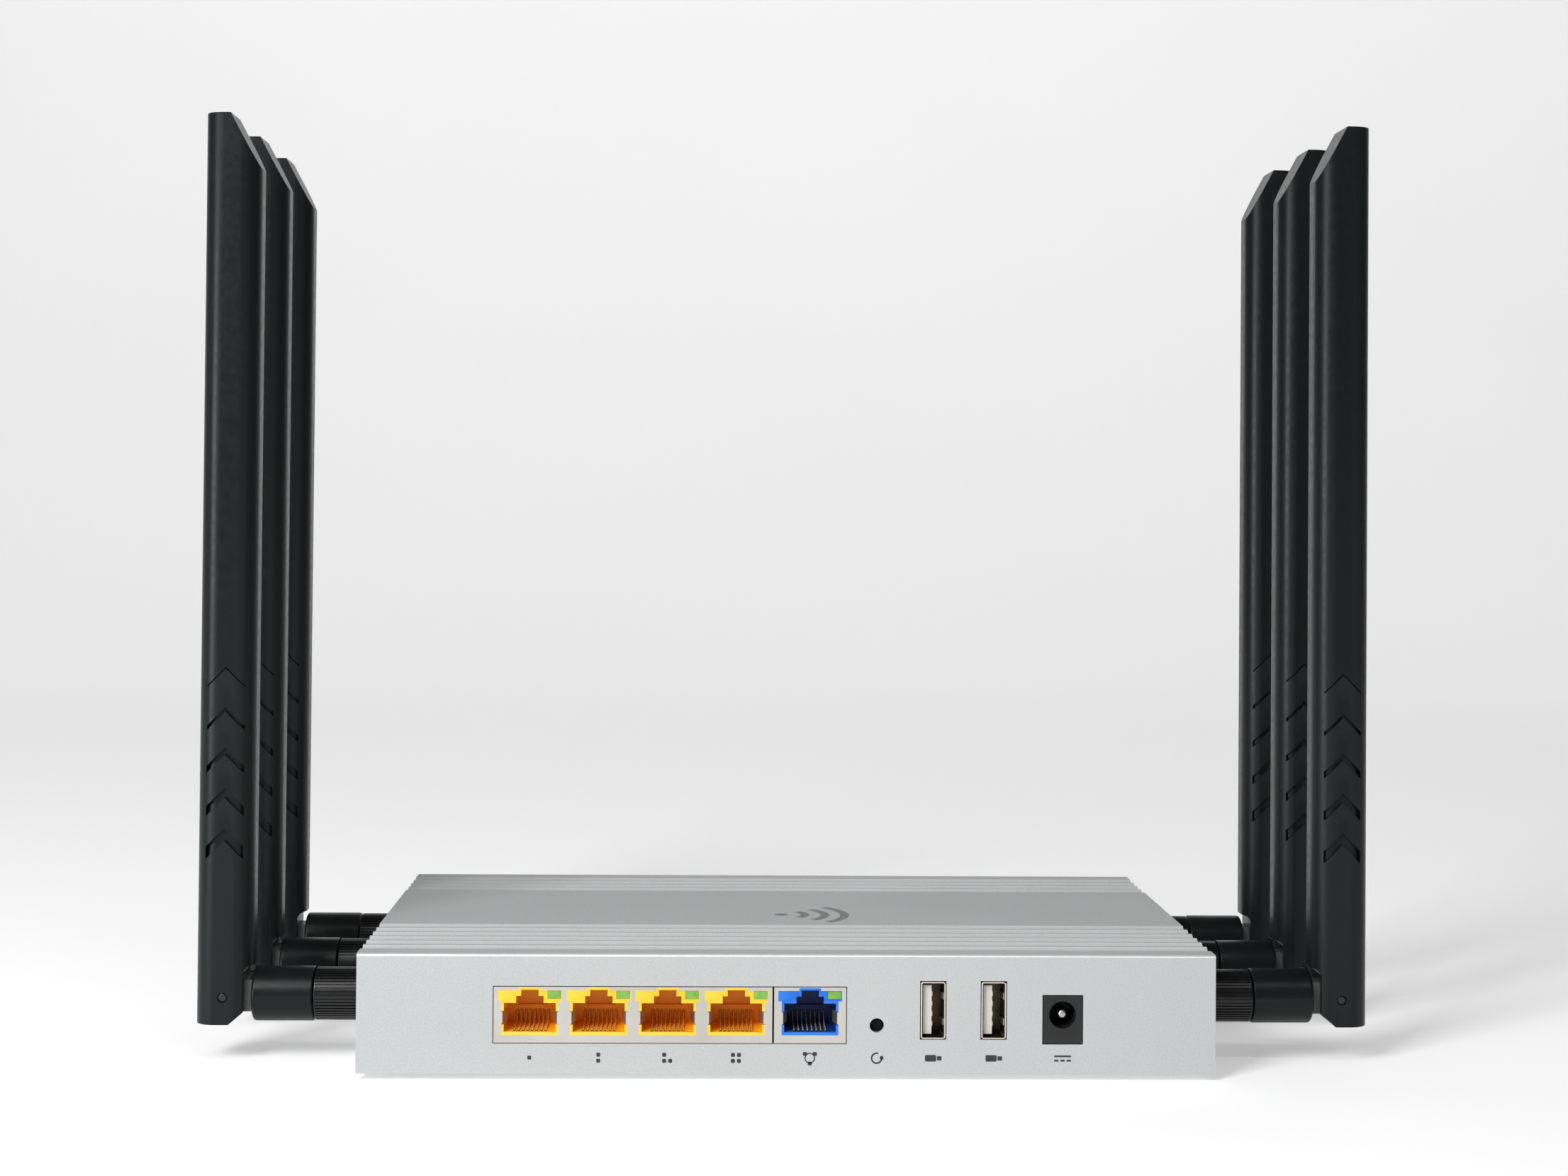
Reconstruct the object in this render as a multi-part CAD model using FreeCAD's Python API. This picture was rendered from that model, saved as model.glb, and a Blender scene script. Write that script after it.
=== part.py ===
import FreeCAD, Part
import math
import os

# Desktop wireless router: a ribbed metal case with six hinged paddle antennas, three at each end.
# Millimetres. X runs along the case, the socket panel faces -Y, +Z is up.
# The origin is the middle of the underside, on the surface that the feet stand on.

# ---- driving dimensions: case ----
CASE_W = 198.0
CASE_D = 126.0
CASE_H = 27.5
SIDE_WALL = 1.6
TOP_WALL = 2.4
BOTTOM_PLATE_T = 1.2
END_PLATE_T = 2.0
END_PLATE_RECESS = 0.4
END_FLANGE_T = 1.2
END_FLANGE_L = 15.0
BEND_R = 0.9
FOOT_H = 1.5
FOOT_R = 6.0
FOOT_INSET = 17.0

# scalloped grooves along the top: one group behind the sockets, one at the front
GROOVE_W = 4.0
GROOVE_DEPTH = 0.55
GROOVE_PITCH = 6.0
REAR_GROOVES = 6
FRONT_GROOVES = 4
REAR_GROOVE_INSET = 8.5
FRONT_GROOVE_INSET = 9.5

# corner screws, up through the floor and the end flanges into posts of the cover
POST_R = 3.5
POST_INSET_X = 11.0
POST_INSET_Y = 10.0
SCREW_R = 1.3
SCREW_LENGTH = 9.0
SCREW_HEAD_R = 2.6
SCREW_HEAD_H = 1.0
SCREW_CLEARANCE = 0.25

# ---- main board ----
BOARD_T = 1.6
BOARD_RISE = 5.5
BOARD_END_GAP = 19.0
BOARD_FRONT_GAP = 14.0
BOARD_HOLE_INSET = 5.0
STANDOFF_R = 2.8
BOARD_SCREW_R = 1.25
BOARD_SCREW_HEAD_R = 2.4
BOARD_SCREW_HEAD_H = 1.4
PANEL_GAP = 0.2

# ---- network sockets ----
LAN_PORTS = 4
SOCKETS_LEFT_X = -67.6
SOCKET_SPACING = 0.4
PORT_PITCH = 15.8
JACK_H = 12.8
JACK_DEPTH = 17.0
SHIELD_T = 0.3
SHIELD_GAP = 0.1
SHIELD_SIDE = 0.4
FACE_LOW_W = 13.1
FACE_LOW_Z = 1.8
FACE_BAND_W = 14.7
FACE_BAND_Z = 9.6
FACE_BAND_TOP = 12.0
FACE_TAB_W = 5.0
FACE_TAB_TOP = 12.65
PLUG_W = 11.9
PLUG_FLOOR = 2.5
PLUG_TOP = 9.1
LATCH_WIDE = 6.3
LATCH_WIDE_TOP = 10.7
LATCH_NARROW = 4.0
LATCH_NARROW_TOP = 12.1
PLUG_DEPTH = 12.5
SPRING_LOW = 4.3
SPRING_HIGH = 7.1
SPRING_REACH = 1.0
SPRING_LENGTH = 4.0
NOTCH_CLEARANCE = 0.15
CONTACTS = 8
CONTACT_PITCH = 1.03
CONTACT_W = 0.45
CONTACT_T = 0.3
CONTACT_START = 1.2
CONTACT_KNEE_DEPTH = 8.8
CONTACT_KNEE_Z = 4.2
CONTACT_END_Z = 7.4
PIPE_W = 3.0
PIPE_H = 1.75
PIPE_CENTRE_X = 5.6
PIPE_Z = 10.15

# ---- USB sockets, standing on edge ----
USB_PITCH = 14.0
USB_SPACING = 13.0
USB_W = 5.7
USB_H = 13.1
USB_DEPTH = 14.0
USB_RISE = 1.05
USB_WALL = 0.3
USB_CORNER_R = 0.55
USB_TONGUE_T = 1.95
USB_TONGUE_H = 11.2
USB_TONGUE_GAP = 0.3
USB_TONGUE_SETBACK = 1.2
USB_BACK_T = 4.5
USB_CONTACTS = 4
USB_CONTACT_PITCH = 2.3
USB_CONTACT_W = 1.0
USB_CONTACT_SETBACK = 1.0
USB_SPRING_H = 1.5
USB_SPRING_REACH = 0.8
USB_SPRING_SPACING = 5.9
USB_SPRING_START = 2.0
USB_SPRING_PEAK = 6.0
USB_SPRING_END = 7.0

# ---- power inlet ----
DC_SPACING = 16.0
DC_W = 9.05
DC_H = 11.0
DC_DEPTH = 14.0
DC_BORE_R = 3.1
DC_BORE_RISE = 6.6
DC_BORE_DEPTH = 10.0
DC_PIN_R = 1.0
DC_PIN_SETBACK = 1.0

# ---- recessed reset button ----
RESET_SPACING = 7.1
RESET_RISE = 4.1
RESET_HOLE_R = 1.65
RESET_BUTTON_R = 1.45
RESET_SETBACK = 0.9
RESET_TRAVEL = 0.5
RESET_BUTTON_L = 4.4
RESET_SWITCH_W = 6.2
RESET_SWITCH_H = 7.0
RESET_SWITCH_D = 4.5
RESET_SWITCH_GAP = 2.0
RESET_BORE_CLEARANCE = 0.06

PANEL_CLEARANCE = 0.2

# ---- status lights on the front wall ----
STATUS_LIGHTS = 7
STATUS_PITCH = 9.0
STATUS_W = 3.2
STATUS_H = 1.4
STATUS_LEG = 3.0

# ---- parts on the board ----
CHIP_T = 1.6
CHIP_SIDE = 19.0
CHIP_X = 18.0
CHIP_Y = 4.0
SINK_SIDE = 40.0
SINK_BASE = 2.4
SINK_H = 10.0
SINK_FINS = 9
SINK_FIN_T = 1.2
MEMORY_W = 9.0
MEMORY_D = 13.0
MEMORY_T = 1.2
MEMORY_GAP = 6.0
TRANSFORMER_W = 15.0
TRANSFORMER_D = 10.0
TRANSFORMER_H = 5.5
TRANSFORMER_GAP = 3.0
CAN_W = 40.0
CAN_D = 30.0
CAN_H = 3.2
CAN_WALL = 0.4
CAN_INSET_X = 42.0
CAN_Y = 8.0
CAN_SINK_GAP = 2.0

# ---- antennas ----
ROW_INSET = 23.3
ANTENNA_RISE = 13.9
COLLAR_R = 6.2
COLLAR_LENGTH = 12.0
COLLAR_GAP = 0.5
KNURLS = 48
KNURL_DEPTH = 0.35
BARREL_R = 6.4
BARREL_LENGTH = 14.3
BARREL_EDGE_R = 0.8
BARREL_GAP = 0.3
PIN_REACH = 6.6
PIN_R = 1.1
PIN_RECESS = 0.15
TONGUE_T = 7.0
TONGUE_HALF = 3.7
RUNNING_FIT = 0.04
SLOT_SIDE_GAP = 0.1
SLOT_END_GAP = 0.15
BLADE_W = 13.3
BLADE_T = 12.6
BLADE_CORNER_R = 4.8
FOOT_SWING_GAP = 0.2
BLADE_ABOVE_PIN = 209.0
BEVEL_H = 13.3
TOP_FLAT = 6.2
CHEEK_REACH = 4.6
RELIEF_GAP = 0.8
CHEEK_CHAMFER_X = 3.2
CHEEK_CHAMFER_Z = 2.7
CHEVRONS = 5
CHEVRON_PITCH = 9.5
CHEVRON_FIRST = 39.8
CHEVRON_HALF_W = 4.4
CHEVRON_DEPTH = 1.0
CHEVRON_BAND_MAX = 2.9
CHEVRON_BAND_STEP = 0.62
CAVITY_SIDE = 6.6
CAVITY_BASE = 10.0
CAVITY_TOP_GAP = 18.0
CABLE_HOLE_R = 1.2
RADIATOR_T = 1.0
RADIATOR_FERRULE_R = 1.0

# threaded antenna sockets in the end plates
JACK_R = 3.15
JACK_OUT = 8.4
JACK_IN = 7.5
JACK_FLANGE_R = 4.6
JACK_FLANGE_T = 0.8
JACK_NUT_AF = 8.0
JACK_NUT_T = 2.2
JACK_TAIL_R = 1.5
JACK_TAIL_L = 4.0
JACK_BORE_R = 2.3
JACK_CORE_SOCKET_R = 0.5
JACK_CORE_SETBACK = 1.0
JACK_CORE_BASE = 2.0
SPIGOT_R = 2.6
SPIGOT_FLANGE_T = 0.7
SPIGOT_CLEARANCE = 0.3
COLLAR_WALL = 2.5

# thin coaxial leads from the antenna sockets to the board
LEAD_R = 0.6
LEAD_LEVEL_RUN = 5.5
LEAD_SLOPE_RUN = 9.0
LEAD_BOARD_RUN = 5.5
LEAD_PLUG_SIDE = 3.0
LEAD_PLUG_H = 1.6

# ---- derived levels and faces ----
CASE_Z = FOOT_H
CASE_TOP = CASE_Z + CASE_H
INNER_TOP = CASE_TOP - TOP_WALL
FLOOR_TOP = CASE_Z + BOTTOM_PLATE_T
HALF_W = CASE_W / 2
HALF_D = CASE_D / 2
PANEL_Y = -HALF_D
INNER_Y = HALF_D - SIDE_WALL
END_FACE = HALF_W - END_PLATE_RECESS
END_INNER = END_FACE - END_PLATE_T
BOARD_Z = CASE_Z + BOARD_RISE
BOARD_TOP = BOARD_Z + BOARD_T
BOARD_X = HALF_W - BOARD_END_GAP
BOARD_REAR = PANEL_Y + SIDE_WALL + PANEL_GAP
BOARD_FRONT = INNER_Y - BOARD_FRONT_GAP
JACK_BACK = PANEL_Y + JACK_DEPTH
ANTENNA_Z = CASE_Z + ANTENNA_RISE

# sockets follow each other along the panel
LAN_HALF = LAN_PORTS * PORT_PITCH / 2 + SHIELD_SIDE
WAN_HALF = PORT_PITCH / 2 + SHIELD_SIDE
LAN_CENTRE_X = SOCKETS_LEFT_X + LAN_HALF
WAN_CENTRE_X = LAN_CENTRE_X + LAN_HALF + SOCKET_SPACING + WAN_HALF
RESET_X = WAN_CENTRE_X + WAN_HALF + RESET_SPACING
USB_CENTRES_X = (RESET_X + USB_SPACING, RESET_X + USB_SPACING + USB_PITCH)
DC_CENTRE_X = USB_CENTRES_X[1] + DC_SPACING

# antenna stations, outwards from the end plate
COLLAR_START = HALF_W + COLLAR_GAP
COLLAR_END = COLLAR_START + COLLAR_LENGTH
BARREL_START = COLLAR_END + BARREL_GAP
BARREL_END = BARREL_START + BARREL_LENGTH
PIN_X = BARREL_END + PIN_REACH
BLADE_BELOW_PIN = PIN_REACH - FOOT_SWING_GAP
RELIEF_TOP = BARREL_R + RELIEF_GAP
ROW_Y = HALF_D - ROW_INSET
ROWS = (("rear", -ROW_Y), ("middle", 0.0), ("front", ROW_Y))
SIDES = (("left", -1), ("right", 1))
X_AXIS = FreeCAD.Vector(1, 0, 0)
Y_AXIS = FreeCAD.Vector(0, 1, 0)
Z_AXIS = FreeCAD.Vector(0, 0, 1)


# ---- small helpers ----

def vec(x, y, z):
    return FreeCAD.Vector(x, y, z)


def box(x0, x1, y0, y1, z0, z1):
    return Part.makeBox(x1 - x0, y1 - y0, z1 - z0, vec(x0, y0, z0))


def rod(start, axis, radius, length):
    return Part.makeCylinder(radius, length, start, axis)


def prism(points, direction):
    wire = Part.makePolygon(points + [points[0]])
    return Part.Face(wire).extrude(direction)


def prism_y(points_xz, y0, y1):
    """A flat outline in X and Z, pushed along Y."""
    return prism([vec(x, y0, z) for x, z in points_xz], vec(0, y1 - y0, 0))


def fuse(shapes):
    whole = shapes[0].multiFuse(shapes[1:]) if len(shapes) > 1 else shapes[0]
    return whole.removeSplitter()


def corners(x, y):
    return [(sx * x, sy * y) for sx in (-1, 1) for sy in (-1, 1)]


def edges_along(shape, axis):
    """The straight edges that run along one axis (0, 1 or 2)."""
    found = []
    for edge in shape.Edges:
        a, b = edge.Vertexes[0].Point, edge.Vertexes[-1].Point
        moved = [abs(a[i] - b[i]) > 1e-6 for i in range(3)]
        if moved[axis] and sum(moved) == 1:
            found.append(edge)
    return found


def hexagon(start, axis_sign, across_flats, thickness):
    """A hexagonal nut blank on an X axis."""
    radius = across_flats / math.sqrt(3)
    points = [start + vec(0, radius * math.cos(math.radians(a)), radius * math.sin(math.radians(a)))
              for a in range(0, 360, 60)]
    return prism(points, vec(axis_sign * thickness, 0, 0))


def save(name, shapes):
    """One STEP file for a node; several shapes stay separate solids."""
    shape = shapes[0] if len(shapes) == 1 else Part.makeCompound(shapes)
    shape.exportStep(os.path.join("parts", name + ".step"))


# ---- case ----

def groove(y):
    """A shallow round-bottomed groove along the whole top."""
    radius = (GROOVE_W ** 2 / 4 + GROOVE_DEPTH ** 2) / (2 * GROOVE_DEPTH)
    return rod(vec(-HALF_W - 1, y, CASE_TOP + radius - GROOVE_DEPTH), X_AXIS, radius, CASE_W + 2)


def groove_rows():
    rear = [-HALF_D + REAR_GROOVE_INSET + i * GROOVE_PITCH for i in range(REAR_GROOVES)]
    front = [HALF_D - FRONT_GROOVE_INSET - i * GROOVE_PITCH for i in range(FRONT_GROOVES)]
    return rear + front


def panel_cutouts():
    """Openings of the socket panel: one window for both network sockets, and one for each other socket."""
    y0, y1, gap = PANEL_Y - 1, PANEL_Y + SIDE_WALL + 1, PANEL_CLEARANCE
    cuts = [box(LAN_CENTRE_X - LAN_HALF - gap, WAN_CENTRE_X + WAN_HALF + gap,
                y0, y1, BOARD_TOP - gap, BOARD_TOP + JACK_H + gap)]
    for x in USB_CENTRES_X:
        cuts.append(box(x - USB_W / 2 - gap, x + USB_W / 2 + gap, y0, y1,
                        BOARD_TOP + USB_RISE - gap, BOARD_TOP + USB_RISE + USB_H + gap))
    cuts.append(box(DC_CENTRE_X - DC_W / 2 - gap, DC_CENTRE_X + DC_W / 2 + gap, y0, y1,
                    BOARD_TOP - gap, BOARD_TOP + DC_H + gap))
    cuts.append(rod(vec(RESET_X, y0, BOARD_TOP + RESET_RISE), Y_AXIS, RESET_HOLE_R, y1 - y0))
    return cuts


def status_centres():
    return [(i - (STATUS_LIGHTS - 1) / 2) * STATUS_PITCH for i in range(STATUS_LIGHTS)]


def status_cutouts():
    return [box(x - STATUS_W / 2, x + STATUS_W / 2, INNER_Y - 1, HALF_D + 1,
                ANTENNA_Z - STATUS_H / 2, ANTENNA_Z + STATUS_H / 2) for x in status_centres()]


def post_places():
    return corners(END_FACE - POST_INSET_X, HALF_D - POST_INSET_Y)


def top_cover():
    block = box(-HALF_W, HALF_W, -HALF_D, HALF_D, CASE_Z, CASE_TOP)
    bends = [e for e in edges_along(block, 0) if e.Vertexes[0].Z > CASE_TOP - 0.1]
    cover = block.makeFillet(BEND_R, bends)
    cover = cover.cut(box(-HALF_W - 1, HALF_W + 1, -INNER_Y, INNER_Y, CASE_Z - 1, INNER_TOP))
    post_base = FLOOR_TOP + END_FLANGE_T
    posts = [rod(vec(x, y, post_base), Z_AXIS, POST_R, INNER_TOP - post_base) for x, y in post_places()]
    cover = fuse([cover] + posts)
    bores = [rod(vec(x, y, post_base - 1), Z_AXIS, SCREW_R, SCREW_LENGTH) for x, y in post_places()]
    cuts = [groove(y) for y in groove_rows()] + panel_cutouts() + status_cutouts() + bores
    return cover.cut(cuts)


def bottom_plate():
    plate = box(-END_FACE, END_FACE, -INNER_Y, INNER_Y, CASE_Z, FLOOR_TOP)
    holes = [rod(vec(x, y, CASE_Z - 1), Z_AXIS, SCREW_R + SCREW_CLEARANCE, BOTTOM_PLATE_T + 2)
             for x, y in post_places()]
    return plate.cut(holes)


def end_plate(side):
    """An upright plate with a flange along the floor, and three holes for the antenna sockets."""
    wall = box(END_INNER, END_FACE, -INNER_Y, INNER_Y, FLOOR_TOP, INNER_TOP)
    flange = box(END_INNER - END_FLANGE_L, END_INNER, -INNER_Y, INNER_Y, FLOOR_TOP, FLOOR_TOP + END_FLANGE_T)
    plate = fuse([wall, flange])
    holes = [rod(vec(END_INNER - 1, y, ANTENNA_Z), X_AXIS, JACK_R, END_PLATE_T + 2) for _, y in ROWS]
    holes += [rod(vec(x, y, FLOOR_TOP - 1), Z_AXIS, SCREW_R + SCREW_CLEARANCE, END_FLANGE_T + 2)
              for x, y in post_places() if x > 0]
    plate = plate.cut(holes)
    return turned(plate, side, 0.0)


def case_screws():
    screws = []
    for x, y in post_places():
        shank = rod(vec(x, y, CASE_Z), Z_AXIS, SCREW_R, SCREW_LENGTH)
        head = rod(vec(x, y, CASE_Z - SCREW_HEAD_H), Z_AXIS, SCREW_HEAD_R, SCREW_HEAD_H)
        screws.append(fuse([shank, head]))
    return screws


def rubber_feet():
    places = corners(HALF_W - FOOT_INSET - FOOT_R, HALF_D - FOOT_INSET)
    return [rod(vec(x, y, 0), Z_AXIS, FOOT_R, FOOT_H) for x, y in places]


# ---- board ----

def board_holes():
    front = BOARD_FRONT - BOARD_HOLE_INSET
    rear = JACK_BACK + BOARD_HOLE_INSET
    return [(sx * (BOARD_X - BOARD_HOLE_INSET), y) for sx in (-1, 1) for y in (rear, front)]


def main_board():
    board = box(-BOARD_X, BOARD_X, BOARD_REAR, BOARD_FRONT, BOARD_Z, BOARD_TOP)
    holes = [rod(vec(x, y, BOARD_Z - 1), Z_AXIS, BOARD_SCREW_R, BOARD_T + 2) for x, y in board_holes()]
    return board.cut(holes)


def board_standoffs():
    height = BOARD_Z - FLOOR_TOP
    return [rod(vec(x, y, FLOOR_TOP), Z_AXIS, STANDOFF_R, height).cut(
            rod(vec(x, y, FLOOR_TOP + BOTTOM_PLATE_T / 2), Z_AXIS, BOARD_SCREW_R, height))
            for x, y in board_holes()]


def board_screws():
    screws = []
    for x, y in board_holes():
        tip = FLOOR_TOP + BOTTOM_PLATE_T
        shank = rod(vec(x, y, tip), Z_AXIS, BOARD_SCREW_R, BOARD_TOP - tip)
        head = rod(vec(x, y, BOARD_TOP), Z_AXIS, BOARD_SCREW_HEAD_R, BOARD_SCREW_HEAD_H)
        screws.append(fuse([shank, head]))
    return screws


def chip(x, y, w, d, t):
    return box(x - w / 2, x + w / 2, y - d / 2, y + d / 2, BOARD_TOP, BOARD_TOP + t)


def board_chips():
    """The processor under the heat sink, two memory chips, and the line transformers behind the sockets."""
    chips = [chip(CHIP_X, CHIP_Y, CHIP_SIDE, CHIP_SIDE, CHIP_T)]
    memory_y = BOARD_FRONT - STATUS_LEG - MEMORY_GAP - MEMORY_D / 2
    chips += [chip(CHIP_X + s * (CHIP_X - MEMORY_W), memory_y, MEMORY_W, MEMORY_D, MEMORY_T) for s in (-1, 1)]
    y = JACK_BACK + TRANSFORMER_GAP + TRANSFORMER_D / 2
    for x in (LAN_CENTRE_X - PORT_PITCH, LAN_CENTRE_X + PORT_PITCH, WAN_CENTRE_X):
        chips.append(chip(x, y, TRANSFORMER_W, TRANSFORMER_D, TRANSFORMER_H))
    return chips


def heat_sink():
    half = SINK_SIDE / 2
    base_z = BOARD_TOP + CHIP_T
    base = box(CHIP_X - half, CHIP_X + half, CHIP_Y - half, CHIP_Y + half, base_z, base_z + SINK_BASE)
    step = (SINK_SIDE - SINK_FIN_T) / (SINK_FINS - 1)
    fins = [box(CHIP_X - half + i * step, CHIP_X - half + i * step + SINK_FIN_T, CHIP_Y - half, CHIP_Y + half,
                base_z + SINK_BASE, base_z + SINK_H) for i in range(SINK_FINS)]
    return fuse([base] + fins)


def rf_shield_cans():
    """Two thin lids over the radio circuits, open towards the board."""
    cans = []
    for x, room in ((-CAN_INSET_X, CAN_W), (CHIP_X + SINK_SIDE / 2 + CAN_W / 4 + CAN_SINK_GAP, CAN_W / 2)):
        outer = chip(x, CAN_Y, room, CAN_D, CAN_H)
        inner = box(x - room / 2 + CAN_WALL, x + room / 2 - CAN_WALL, CAN_Y - CAN_D / 2 + CAN_WALL,
                    CAN_Y + CAN_D / 2 - CAN_WALL, BOARD_TOP - 1, BOARD_TOP + CAN_H - CAN_WALL)
        cans.append(outer.cut(inner))
    return cans


def status_light_pipes():
    """Clear bent bars from the front edge of the board out through the front wall."""
    pipes = []
    for x in status_centres():
        bar = box(x - STATUS_W / 2, x + STATUS_W / 2, BOARD_FRONT - STATUS_LEG, HALF_D,
                  ANTENNA_Z - STATUS_H / 2, ANTENNA_Z + STATUS_H / 2)
        leg = box(x - STATUS_W / 2, x + STATUS_W / 2, BOARD_FRONT - STATUS_LEG, BOARD_FRONT - STATUS_LEG / 2,
                  BOARD_TOP, ANTENNA_Z)
        pipes.append(fuse([bar, leg]))
    return pipes


# ---- network sockets ----

def port_centres():
    lan = [LAN_CENTRE_X + (i - (LAN_PORTS - 1) / 2) * PORT_PITCH for i in range(LAN_PORTS)]
    return lan, [WAN_CENTRE_X]


def stepped_outline(x, steps):
    """A symmetric outline made of stacked levels, each (half width, top); it starts at the first top."""
    right, z = [], steps[0][1]
    for half, top in steps[1:]:
        right += [(half, z), (half, top)]
        z = top
    left = [(-w, h) for w, h in reversed(right)]
    return [(x + w, BOARD_TOP + h) for w, h in right + left]


def face_outline(x, grow=0.0):
    return stepped_outline(x, [(0, FACE_LOW_Z - grow), (FACE_LOW_W / 2 + grow, FACE_BAND_Z - grow),
                               (FACE_BAND_W / 2 + grow, FACE_BAND_TOP + grow),
                               (FACE_TAB_W / 2 + grow, FACE_TAB_TOP + grow)])


def plug_outline(x):
    return stepped_outline(x, [(0, PLUG_FLOOR), (PLUG_W / 2, PLUG_TOP), (LATCH_WIDE / 2, LATCH_WIDE_TOP),
                               (LATCH_NARROW / 2, LATCH_NARROW_TOP)])


def shield_springs(x):
    """Two leaves bent in from the shield's face that grip the sides of a plug."""
    edge = FACE_LOW_W / 2 + SHIELD_T
    leaves = []
    for s in (-1, 1):
        points = [(edge, 0.0), (edge, SHIELD_T), (edge - SPRING_REACH - SHIELD_T, SPRING_LENGTH),
                  (edge - SPRING_REACH - 2 * SHIELD_T, SPRING_LENGTH), (edge - 2 * SHIELD_T, 0.0)]
        ring = [vec(x + s * w, PANEL_Y + d, BOARD_TOP + SPRING_LOW) for w, d in points]
        leaves.append(prism(ring, vec(0, 0, SPRING_HIGH - SPRING_LOW)))
    return leaves


def jack_shield(centres, half_width):
    """A folded metal shell round a row of sockets, open towards the board."""
    middle = sum(centres) / len(centres)
    outer = box(middle - half_width, middle + half_width, PANEL_Y, JACK_BACK, BOARD_TOP, BOARD_TOP + JACK_H)
    inner = box(middle - half_width + SHIELD_T, middle + half_width - SHIELD_T, PANEL_Y + SHIELD_T,
                JACK_BACK - SHIELD_T, BOARD_TOP - 1, BOARD_TOP + JACK_H - SHIELD_T)
    shell = outer.cut(inner)
    windows = [prism_y(face_outline(x), PANEL_Y - 1, PANEL_Y + SHIELD_T) for x in centres]
    shell = shell.cut(windows)
    return fuse([shell] + [leaf for x in centres for leaf in shield_springs(x)])


def jack_housing(x):
    """The moulded body of one socket: stepped face, stepped plug cavity, side notches and a lamp bore."""
    low, depth = BOARD_TOP + SHIELD_GAP, JACK_BACK - SHIELD_T
    face = prism_y(face_outline(x), PANEL_Y, PANEL_Y + SHIELD_T)
    half = PORT_PITCH / 2 - SHIELD_GAP
    block = box(x - half, x + half, PANEL_Y + SHIELD_T, depth, low, BOARD_TOP + JACK_H - SHIELD_T)
    body = fuse([face, block])
    cavity = prism_y(plug_outline(x), PANEL_Y - 1, PANEL_Y + PLUG_DEPTH)
    side = FACE_LOW_W / 2 + SHIELD_T + NOTCH_CLEARANCE
    notches = box(x - side, x + side, PANEL_Y - 1, PANEL_Y + SPRING_LENGTH + NOTCH_CLEARANCE,
                  BOARD_TOP + SPRING_LOW - NOTCH_CLEARANCE, BOARD_TOP + SPRING_HIGH + NOTCH_CLEARANCE)
    return body.cut([cavity, notches, light_pipe(x)])


def light_pipe(x):
    return box(x + PIPE_CENTRE_X - PIPE_W / 2, x + PIPE_CENTRE_X + PIPE_W / 2, PANEL_Y,
               PANEL_Y + PLUG_DEPTH, BOARD_TOP + PIPE_Z, BOARD_TOP + PIPE_Z + PIPE_H)


def contacts(x):
    """Eight sprung wires that slope up along the cavity floor, away from the mouth."""
    run = [(CONTACT_START, PLUG_FLOOR), (CONTACT_KNEE_DEPTH, CONTACT_KNEE_Z), (PLUG_DEPTH, CONTACT_END_Z)]
    upper = [(d, z + CONTACT_T) for d, z in reversed(run)]
    wires = []
    for i in range(CONTACTS):
        left = x + (i - (CONTACTS - 1) / 2) * CONTACT_PITCH - CONTACT_W / 2
        ring = [vec(left, PANEL_Y + d, BOARD_TOP + z) for d, z in run + upper]
        wires.append(prism(ring, vec(CONTACT_W, 0, 0)))
    return wires


# ---- USB, power and reset ----

def usb_shell(x):
    z0 = BOARD_TOP + USB_RISE
    outer = box(x - USB_W / 2, x + USB_W / 2, PANEL_Y, PANEL_Y + USB_DEPTH, z0, z0 + USB_H)
    outer = outer.makeFillet(USB_CORNER_R, edges_along(outer, 1))
    inner = box(x - USB_W / 2 + USB_WALL, x + USB_W / 2 - USB_WALL, PANEL_Y - 1, PANEL_Y + USB_DEPTH + 1,
                z0 + USB_WALL, z0 + USB_H - USB_WALL)
    wall = x + USB_W / 2 - USB_WALL
    springs = []
    for s in (-1, 1):
        z = z0 + USB_H / 2 + (s * USB_SPRING_SPACING - USB_SPRING_H) / 2
        ring = [vec(wall + USB_WALL / 2, PANEL_Y + USB_SPRING_START, z),
                vec(wall, PANEL_Y + USB_SPRING_START, z),
                vec(wall - USB_SPRING_REACH, PANEL_Y + USB_SPRING_PEAK, z),
                vec(wall + USB_WALL / 2, PANEL_Y + USB_SPRING_END, z)]
        springs.append(prism(ring, vec(0, 0, USB_SPRING_H)))
    return fuse([outer.cut(inner)] + springs)


def usb_tongue_left(x):
    return x - USB_W / 2 + USB_WALL + USB_TONGUE_GAP


def usb_tongue(x):
    """The insulator: a back block that fills the shell, its tongue, and a foot on the board."""
    z0 = BOARD_TOP + USB_RISE
    middle = z0 + USB_H / 2
    back_y = PANEL_Y + USB_DEPTH - USB_BACK_T
    back = box(x - USB_W / 2 + USB_WALL, x + USB_W / 2 - USB_WALL, back_y, PANEL_Y + USB_DEPTH,
               z0 + USB_WALL, z0 + USB_H - USB_WALL)
    left = usb_tongue_left(x)
    tongue = box(left, left + USB_TONGUE_T, PANEL_Y + USB_TONGUE_SETBACK, back_y,
                 middle - USB_TONGUE_H / 2, middle + USB_TONGUE_H / 2)
    behind = box(x - USB_W / 2, x + USB_W / 2, PANEL_Y + USB_DEPTH, PANEL_Y + USB_DEPTH + USB_WALL,
                 BOARD_TOP, z0 + USB_H)
    foot = box(x - USB_W / 2, x + USB_W / 2, BOARD_REAR, PANEL_Y + USB_DEPTH, BOARD_TOP, z0)
    return fuse([back, tongue, behind, foot])


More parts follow.
